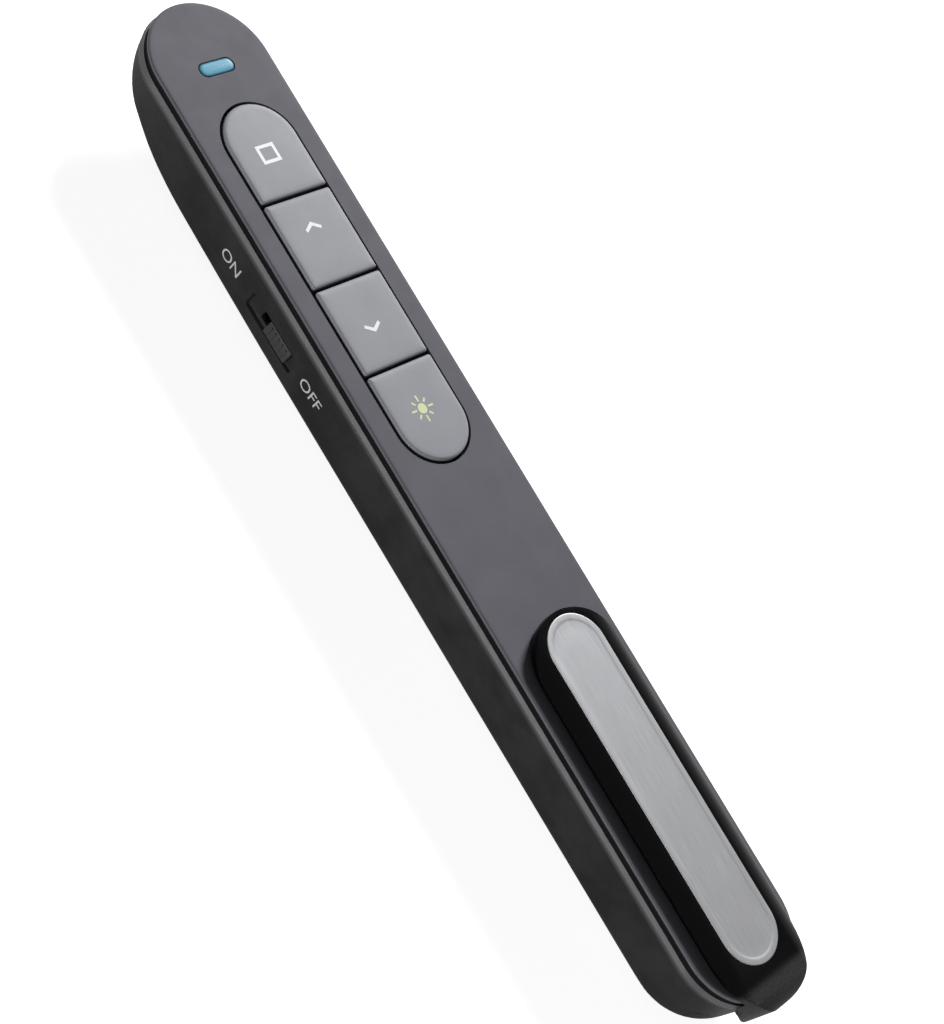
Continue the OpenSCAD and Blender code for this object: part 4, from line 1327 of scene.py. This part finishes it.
@dataclass
class PowerSlider:
    """The ribbed slider in its recess, and the words beside it."""

    hull: Hull
    centre: float = -31.4
    height: float = 5.8
    length: float = 5.4
    tall: float = 2.6
    face: float = -9.95
    depth: float = 0.55
    neck: Point = (1.2, 2.35, 0.7)
    ribs: int = 5
    rib_pitch: float = 0.918
    rib_radius: float = 0.17
    word_z: float = 6.2
    word_size: float = 2.8

    def make(self) -> None:
        """Builds the knob with its ribs, and prints ON and OFF."""
        x, face, z, reach, rise = self.centre, self.face, self.height, self.length / 2, self.tall / 2
        neck_x, neck_y, neck_z = self.neck
        forge = Forge().box((x - reach, face, z - rise), (x + reach, face + self.depth, z + rise))
        forge.box((x - neck_x, face + self.depth - 0.05, z - neck_z), (x + neck_x, face + neck_y, z + neck_z))
        knob = eased(forge.build("slider_knob"), 0.12)
        place(knob, "power_slider", Finish.KNOB.look, "knob_plastic", "switch_knob")
        place(self._grip(), "power_slider", Finish.KNOB.look, "knob_plastic")
        self._word("ON", -44.1)
        self._word("OFF", -22.8)

    def _grip(self) -> Thing:
        """Repeats the grip ribs along the knob.

        Returns:
            The ribs.
        """
        pattern = Pattern("slider_grip")
        count, pitch = pattern.size("Ribs", self.ribs), pattern.size("Pitch", self.rib_pitch * MM)
        radius = pattern.size("Rib radius", self.rib_radius * MM)
        height = pattern.size("Rib height", (self.tall - 0.7) * MM)
        start = (self.centre - self.rib_pitch * (self.ribs - 1) / 2, self.face, self.height)
        sockets = {"Vertices": 16, "Radius": radius, "Depth": height}
        rib = pattern.wire("GeometryNodeMeshCylinder", sockets, "Mesh")
        return pattern.run(pattern.spread(pattern.row(count, start, pitch), rib), Finish.KNOB.look)

    def _word(self, text: str, x: float) -> None:
        """Prints a word on the shell's side wall.

        Args:
            text: the word.
            x: where its middle is.
        """
        curve = bpy.data.curves.new(text, "FONT")
        curve.body, curve.size, curve.extrude = text, self.word_size * MM, 0.03 * MM
        curve.align_x = curve.align_y = "CENTER"
        made = linked(bpy.data.objects.new("word_" + text, curve))
        mesh = evaluated(made)
        bpy.data.objects.remove(made)
        piece = linked(bpy.data.objects.new("word_" + text, mesh))
        hull, slope = self.hull, self.hull.slope
        y = (hull.top - self.word_z) * math.tan(slope) - hull.half
        moved(piece, (x, y, self.word_z), 90 + math.degrees(slope), "X")
        place(piece, "housing", Finish.LETTER.look, "shell_plastic")


@dataclass
class PocketClip:
    """The glossy clip that bends over the tail, and its silver plate."""

    end: float
    tip: float
    top: float
    half: float
    plate_low: float
    plate_high: float
    plate_half: float
    root_half: float = 5.5
    root_low: float = 7.2
    thick: float = 1.3
    shoulder: float = 0.5
    bend: float = 2.8
    flat: float = 5.4
    web: float = 1.2
    fillet: float = 2.2
    tail_half: float = 10.3
    tail_gap: float = 0.3
    taper: float = 11.0
    squareness: float = 2.2
    bump_x: float = 6.0
    bump_half: Pair = (4.0, 1.35)
    foot_length: float = 8.6
    foot_half: float = 3.0
    seat_gap: float = 0.04

    def make(self) -> None:
        """Builds the clip, its bump and foot, and the plate."""
        place(self._arm(), "pocket_clip", Finish.CLIP.look, "clip_plastic", "clip")
        low = self.top - self.thick
        (reach, half), root = self.bump_half, self.root_low
        levels = [(0.0, low + 0.3), (0.0, low + 0.05), (0.12, low - 0.15), (0.35, low - 0.3),
                  (0.8, low - 0.4)]
        bump = Slab(-reach, reach, half, 1.3, 1.3, 10).build("clip_bump", levels, 60.0)
        foot = Slab(self.tip - self.foot_length, self.tip - self.thick / 2, self.foot_half, 0.6, 0.4, 6)
        for piece in (
            moved(bump, (self.end + self.bump_x, 0, 0), 90),
            foot.build("clip_foot", [(0.0, root + 0.9), (0.0, root + 2.3)]),
        ):
            place(piece, "pocket_clip", Finish.CLIP.look, "clip_plastic")
        self._plate()

    def _side(self, name: str, tip: float, top: float, radius: float) -> Thing:
        """Makes the side view's prism: flat on top and rounded over the tail.

        Args:
            name: the object's name.
            tip: its end at the tail.
            top: its height.
            radius: the radius over the tail.

        Returns:
            The prism.
        """
        start, wide = self.end - 5, self.tail_half + 5
        curve = arc(tip - radius, top - radius, radius, 0.0, 90.0, 16)
        outline = [(start, 0.0), (tip, 0.0), *curve, (start, top)]
        return Forge().prism(outline, "Y", -wide, wide).build(name)

    def _plan(self) -> Thing:
        """Makes the plan view's prism: a half circle at the free end, a longer nose at the tail.

        Returns:
            The prism.
        """
        first, last, power = self.end + self.half, self.tip - self.taper, 2.0 / self.squareness
        outline = arc(first, 0.0, self.half, 90.0, 270.0, 48)
        for x, y in arc(0.0, 0.0, 1.0, -90.0, 90.0, 48):
            side = math.copysign(abs(y) ** power, y)
            outline.append((last + self.taper * abs(x) ** power, self.half * side))
        return Forge().prism(outline, "Z", 0.0, self.top + 1).build("clip_plan")

    def _across(self, name: str, right: list[Pair]) -> Thing:
        """Makes a prism along the clip from its right half, which runs up to or across the middle."""
        outline = right + [(-y, z) for y, z in right[::-1] if y > 1e-9]
        return Forge().prism(outline, "X", self.end - 2, self.tip + 2).build(name)

    def _section(self) -> Thing:
        """Makes the cross-section's prism: a flat middle and falling shoulders.

        Returns:
            The prism.
        """
        run, drop = self.half - self.flat, self.thick - self.shoulder
        radius = (run * run + drop * drop) / (2 * drop)
        reach = math.degrees(math.asin(run / radius))
        curve = arc(self.flat, self.top - radius, radius, 90.0 - reach, 90.0)
        return self._across("clip_section", [(self.half, 0.0), *curve])

    def _end_view(self) -> Thing:
        """Makes the end view's prism: full width over the cover, a rounded tongue down the tail.

        Returns:
            The prism.
        """
        web, root, wide = self.top - self.thick - self.web, self.root_half, self.half + 2
        right = arc(0.0, self.root_low + root, root, -90.0, 0.0, 16)
        right += arc(root + self.fillet, web - self.fillet, self.fillet, 180.0, 90.0, 10)
        return self._across("clip_end_view", [*right, (wide, web), (wide, self.top + 2)])

    def _room(self) -> Thing:
        """Makes the room for the tail and the cover.

        Returns:
            The cutter.
        """
        radius, low = self.tail_half + self.tail_gap, self.top - self.thick
        curve = arc(self.tip - self.thick - radius, 0.0, radius, -90.0, 90.0, 48)
        outline = [(self.end - 5, -radius), *curve, (self.end - 5, radius)]
        inner = self._side("clip_inner", self.tip - self.thick, low, self.bend - self.thick)
        return carve(Forge().prism(outline, "Z", -1.0, low).build("clip_room"), inner, operation="INTERSECT")

    def _arm(self) -> Thing:
        """Cuts the clip from its side, plan, section and end views.

        Returns:
            The clip, with its seat and its eased edges.
        """
        arm = self._side("clip_arm", self.tip, self.top, self.bend)
        carve(arm, self._plan(), self._section(), self._end_view(), operation="INTERSECT")
        gap, half = self.seat_gap, self.plate_half
        seat = Slab(self.plate_low - gap, self.plate_high + gap, half + gap, half, half, 24)
        carve(arm, self._room(), seat.build("clip_seat", [(0.0, self.top - 0.6), (0.0, self.top + 1.0)]))
        return eased(arm, 0.22, 3, 30.0)

    def _plate(self) -> None:
        """Builds the silver plate with its raised rim."""
        rises = [(0.0, -0.58), (0.0, 0.07), (0.04, 0.095), (0.16, 0.1), (0.7, 0.1), (0.86, 0.085),
                 (1.02, 0.045), (1.18, 0.035), (2.4, 0.05), (4.4, 0.06)]
        slab = Slab(self.plate_low, self.plate_high, self.plate_half, steps=24)
        plate = slab.build("clip_plate", [(inset, self.top + rise) for inset, rise in rises], 60.0)
        place(plate, "pocket_clip", Finish.INSERT.look, "insert_metal", "clip_insert")


@dataclass
class BatteryDoor:
    """The door that slides off the tail."""

    hull: Hull
    shell: Shell
    gap: float = 0.15
    tongue: Pair = (2.65, 5.0)
    runner: Pair = (6.3, 7.9)
    rail: float = 7.1
    grooves: int = 6
    groove_pitch: float = 1.5
    groove_first: float = 49.5
    groove_radius: float = 0.4
    groove_bend: float = 9.0
    groove_angle: float = 28.0

    def make(self) -> None:
        """Cuts the door from the hull and adds its tongues, runners and grip grooves."""
        shell, hull, start = self.shell, self.hull, self.shell.door_start
        half, top = shell.door_half - self.gap, shell.door_top - self.gap
        size = Forge().box((start + self.gap, -half, -1), (hull.tail + 1, half, top)).build("door_size")
        panel = carve(carve(hull.skin("door_panel"), size, operation="INTERSECT"), self._grip())
        place(eased(panel, 0.1), "door", Finish.SHELL.look, "door_plastic", "battery_door")
        forge, low, end = Forge(), hull.wall, hull.tail - hull.tail_length - 4
        (inner, outer), (run_in, run_out), rise = self.tongue, self.runner, 2.4
        forge.twins(
            ((start - 1.2, inner, low + 0.05), (start + 3, outer, low + 0.65)),
            ((start + 0.5, inner, low - 0.2), (start + 3, outer, low + 0.2)),
            ((start + 4, run_in, 1.8), (end, run_out, rise)),
            ((start + 4, run_in, low - 0.3), (end, self.rail, rise)),
        )
        place(eased(forge.build("door_runners"), 0.06, 1), "door", Finish.INNER.look, "door_plastic")

    def _grip(self) -> Thing:
        """Repeats a shallow curved groove that gives the thumb a hold.

        Returns:
            The cutter.
        """
        pattern = Pattern("grip_grooves")
        count, pitch = pattern.size("Grooves", self.grooves), pattern.size("Pitch", self.groove_pitch * MM)
        radius = pattern.size("Groove radius", self.groove_radius * MM)
        bend = pattern.size("Bend radius", self.groove_bend * MM)
        curve = pattern.wire("GeometryNodeCurveArc", {
            "Resolution": 24, "Radius": bend, "Start Angle": math.radians(-self.groove_angle),
            "Sweep Angle": math.radians(2 * self.groove_angle)})
        groove = pattern.shift(pattern.pipe(curve, radius, 12), (-self.groove_bend, 0.0, 0.0))
        row = pattern.row(count, (self.groove_first, 0.0, -0.1), pitch)
        return pattern.run(pattern.spread(row, groove), Finish.SHELL.look)


@dataclass
class Fittings:
    """The small parts: screws, the battery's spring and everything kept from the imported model."""

    shell: Shell
    head: Pair = (1.6, 0.95)
    shank: Pair = (0.8, 5.0)
    cross: Point = (1.0, 0.2, 0.5)
    head_z: float = 4.6
    coil_big: float = 3.4
    coil_small: float = 2.0
    coil_turns: float = 3.0
    coil_wire: float = 0.25

    def make(self) -> None:
        """Builds the repeated small parts and dresses the carried-over nodes."""
        place(self._screws(), "housing", Finish.SCREW.look, "screw_steel", "case_screws")
        place(self._spring(), "housing", Finish.STEEL.look, "contact_steel", "contact_spring")
        self._carried()

    def _screws(self) -> Thing:
        """Sets a cross-recess screw at each corner of a grid of points.

        Returns:
            The four screws.
        """
        shell, (a, b, deep) = self.shell, self.cross
        slots = [Forge().box((-x, -y, -deep), (x, y, deep)).build("slot") for x, y in ((a, b), (b, a))]
        forge = Forge().tube((0, 0, 0), "Z", *self.head, 32).tube((0, 0, 0.9), "Z", *self.shank, 16)
        head = eased(carve(forge.build("screw_model"), *slots), 0.08)
        pattern = Pattern("case_screw_set")
        length = pattern.size("Row length", (shell.screw_middle - shell.screw_nose) * MM)
        width = pattern.size("Row width", 2 * shell.screw_y * MM)
        sockets = {"Size X": length, "Size Y": width, "Vertices X": 2, "Vertices Y": 2}
        middle = ((shell.screw_nose + shell.screw_middle) / 2, 0.0, self.head_z)
        grid = pattern.shift(pattern.wire("GeometryNodeMeshGrid", sockets), middle)
        model = pattern.wire("GeometryNodeObjectInfo", {"Object": head}, "Geometry")
        made = pattern.run(pattern.spread(grid, model), Finish.SCREW.look)
        bpy.data.objects.remove(head)
        return made

    def _spring(self) -> Thing:
        """Winds the conical coil against the cell's flat end.

        Returns:
            The spring.
        """
        (low, high), wire = span("contact_spring"), self.coil_wire
        pattern = Pattern("coil_spring")
        big = pattern.size("Big radius", self.coil_big * MM)
        small = pattern.size("Small radius", self.coil_small * MM)
        length = pattern.size("Length", (high.x - low.x - 2 * wire) * MM)
        turns, thick = pattern.size("Turns", self.coil_turns), pattern.size("Wire radius", wire * MM)
        coil = pattern.wire("GeometryNodeCurveSpiral", {
            "Resolution": 32, "Rotations": turns, "Start Radius": big, "End Radius": small, "Height": length})
        made = pattern.run(pattern.pipe(coil, thick, 10), Finish.STEEL.look, 60.0)
        return moved(made, (high.x - wire, 0, (low.z + high.z) / 2), -90, "Y")

    def _carried(self) -> None:
        """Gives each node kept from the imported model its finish."""
        low, high = span("battery_cell")
        cell = CellSleeve((0.55, 0.56, 0.57), (0.03, 0.12, 0.25), (0.6, 0.6, 0.6), low.x + 1.4, high.x - 0.9)
        self._dress("battery_cell", cell.material("cell_sleeve"))
        for finish, names in {
            Finish.INNER: "switch_lever stem_blank stem_page_up stem_page_down stem_laser radio_chip",
            Finish.STEEL: "slide_switch tact_switches crystal laser_diode contact_positive contact_negative"
                          " receiver_plug",
            Finish.SCREW: "clip_screw",
            Finish.BOARD: "main_pcb",
            Finish.LAMP: "indicator_led",
            Finish.CERAMIC: "chip_parts",
            Finish.BRASS: "laser_barrel",
            Finish.LENS: "laser_lens",
            Finish.BEZEL: "laser_bezel",
            Finish.SHELL: "receiver_cap",
            Finish.TONGUE: "receiver_tongue",
            Finish.MAGNET: "receiver_magnet",
        }.items():
            for name in names.split():
                self._dress(name, finish.look)

    @staticmethod
    def _dress(name: str, material: Material) -> None:
        """Gives one node's object a material.

        Args:
            name: the node's name.
            material: what every slot of its object holds from now on.
        """
        piece = bpy.data.objects[name]
        if not piece.material_slots:
            piece.data.materials.append(material)
        for held in piece.material_slots:
            held.material = material
        LOG.info("%s keeps its solid", name)


# ---- the studio


@dataclass
class Studio:
    """Camera, lamps, world and floor."""

    eye: Point = (30.33, -203.27, 240.46)
    right: Point = (0.51427, 0.67232, 0.53246)
    up: Point = (-0.85272, 0.33448, 0.40124)
    lens: float = 79.28
    ambient: float = 0.04
    floor_reach: float = 2500.0
    floor_z: float = -0.02

    def make(self) -> None:
        """Sets up the whole studio."""
        scene = bpy.context.scene
        scene.view_settings.view_transform = "Standard"
        self._camera(scene)
        self._lamp("far_side", (-720, 1340, 850), (10, 0, 8), (440, 440), 47.0)
        self._lamp("tail_side", (420, -130, 62), (70, 0, 8), (200, 200), 0.4)
        self._lamp("near_side", (-40, -900, 38), (0, 0, 8), (500, 60), 5.0)
        self._world(scene)
        self._floor()

    def _camera(self, scene: bpy.types.Scene) -> None:
        """Stands the camera at its viewpoint, rolled as the picture is.

        Args:
            scene: the scene that sees through it.
        """
        data = bpy.data.cameras.new("camera")
        data.lens, data.sensor_width, data.sensor_fit, data.clip_start = self.lens, 36.0, "AUTO", 0.01
        camera = linked(bpy.data.objects.new("camera", data))
        right, up = Vector(self.right).normalized(), Vector(self.up)
        up = (up - right * up.dot(right)).normalized()
        turn = Matrix((right, up, right.cross(up))).transposed().to_4x4()
        camera.matrix_world = Matrix.Translation(Vector(self.eye) * MM) @ turn
        scene.camera = camera

    @staticmethod
    def _lamp(name: str, spot: Point, aim: Point, size: Pair, power: float) -> None:
        """Hangs a soft lamp.

        Args:
            name: the lamp's name.
            spot: where it hangs.
            aim: the point that it is turned to.
            size: its width and height.
            power: its power in watts.
        """
        data = bpy.data.lights.new(name, "AREA")
        data.shape, data.energy = "RECTANGLE", power
        data.size, data.size_y = (side * MM for side in size)
        lamp = linked(bpy.data.objects.new(name, data))
        turn = (Vector(aim) - Vector(spot)).to_track_quat("-Z", "Y").to_matrix().to_4x4()
        lamp.matrix_world = Matrix.Translation(Vector(spot) * MM) @ turn

    def _world(self, scene: bpy.types.Scene) -> None:
        """Makes the surroundings white to the eye and weak as a light.

        Args:
            scene: the scene that they surround.
        """
        world = bpy.data.worlds.new("surround")
        world.use_nodes = True
        tree = Tree(world.node_tree)
        tree.tree.nodes.clear()
        seen = seen_by(tree, "Camera", "Glossy", "Transmission").step(0.0, 1.0)
        strength = self.ambient + seen * (1.0 - self.ambient)
        glow = tree.wire("ShaderNodeBackground", {"Color": (1.0, 1.0, 1.0), "Strength": strength})
        tree.node("ShaderNodeOutputWorld", {0: glow})
        scene.world = world

    def _floor(self) -> None:
        """Lays a wide pale floor under the object."""
        forge, reach, z = Forge(), self.floor_reach, self.floor_z
        square = [(-reach, -reach), (reach, -reach), (reach, reach), (-reach, reach)]
        forge.faces += forge.layers([(square, z)])
        floor = forge.build("floor")
        floor.data.materials.append(Finish.FLOOR.look)


def buttons(cover: Cover, top: float) -> list[Button]:
    """Shares the strip between the four buttons.

    Args:
        cover: the cover with the strip.
        top: the height of the buttons.

    Returns:
        The buttons, from the nose to the tail.
    """
    low, high = cover.strip
    half, gap = cover.strip_half, 0.2
    first, second, third = low + 14.95, low + 28.7, low + 42.45
    return [
        Button("button_blank", "blank_key", low, first - gap, half, top, Sign.SQUARE, near=half),
        Button("button_page_up", "page_up_key", first + gap, second - gap, half, top, Sign.NOSE_CARET),
        Button("button_page_down", "page_down_key", second + gap, third - gap, half, top, Sign.TAIL_CARET),
        Button("button_laser", "laser_key", third + gap, high, half, top, Sign.SUN, far=half),
    ]


def main() -> None:
    """Builds the studio and the dressed clicker."""
    logging.basicConfig(level=logging.INFO, format="%(message)s")
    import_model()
    Studio().make()
    low, high = span("top_cover")
    edge = Cover.edge_in
    hull = Hull(low.x - edge, high.x + edge, high.y + edge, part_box("bottom_shell")[1][2] / MM)
    shell, cover = Shell(hull), Cover(hull, high.z)
    shell.make()
    BatteryDoor(hull, shell).make()
    cover.make()
    for button in buttons(cover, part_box("button_page_up")[1][2] / MM):
        button.make()
    PowerSlider(hull).make()
    (low, high), (start, end) = span("clip"), span("clip_insert")
    PocketClip(low.x, high.x, high.z, high.y, start.x, end.x, end.y).make()
    Fittings(shell).make()
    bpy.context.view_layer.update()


if __name__ == "__main__":
    main()
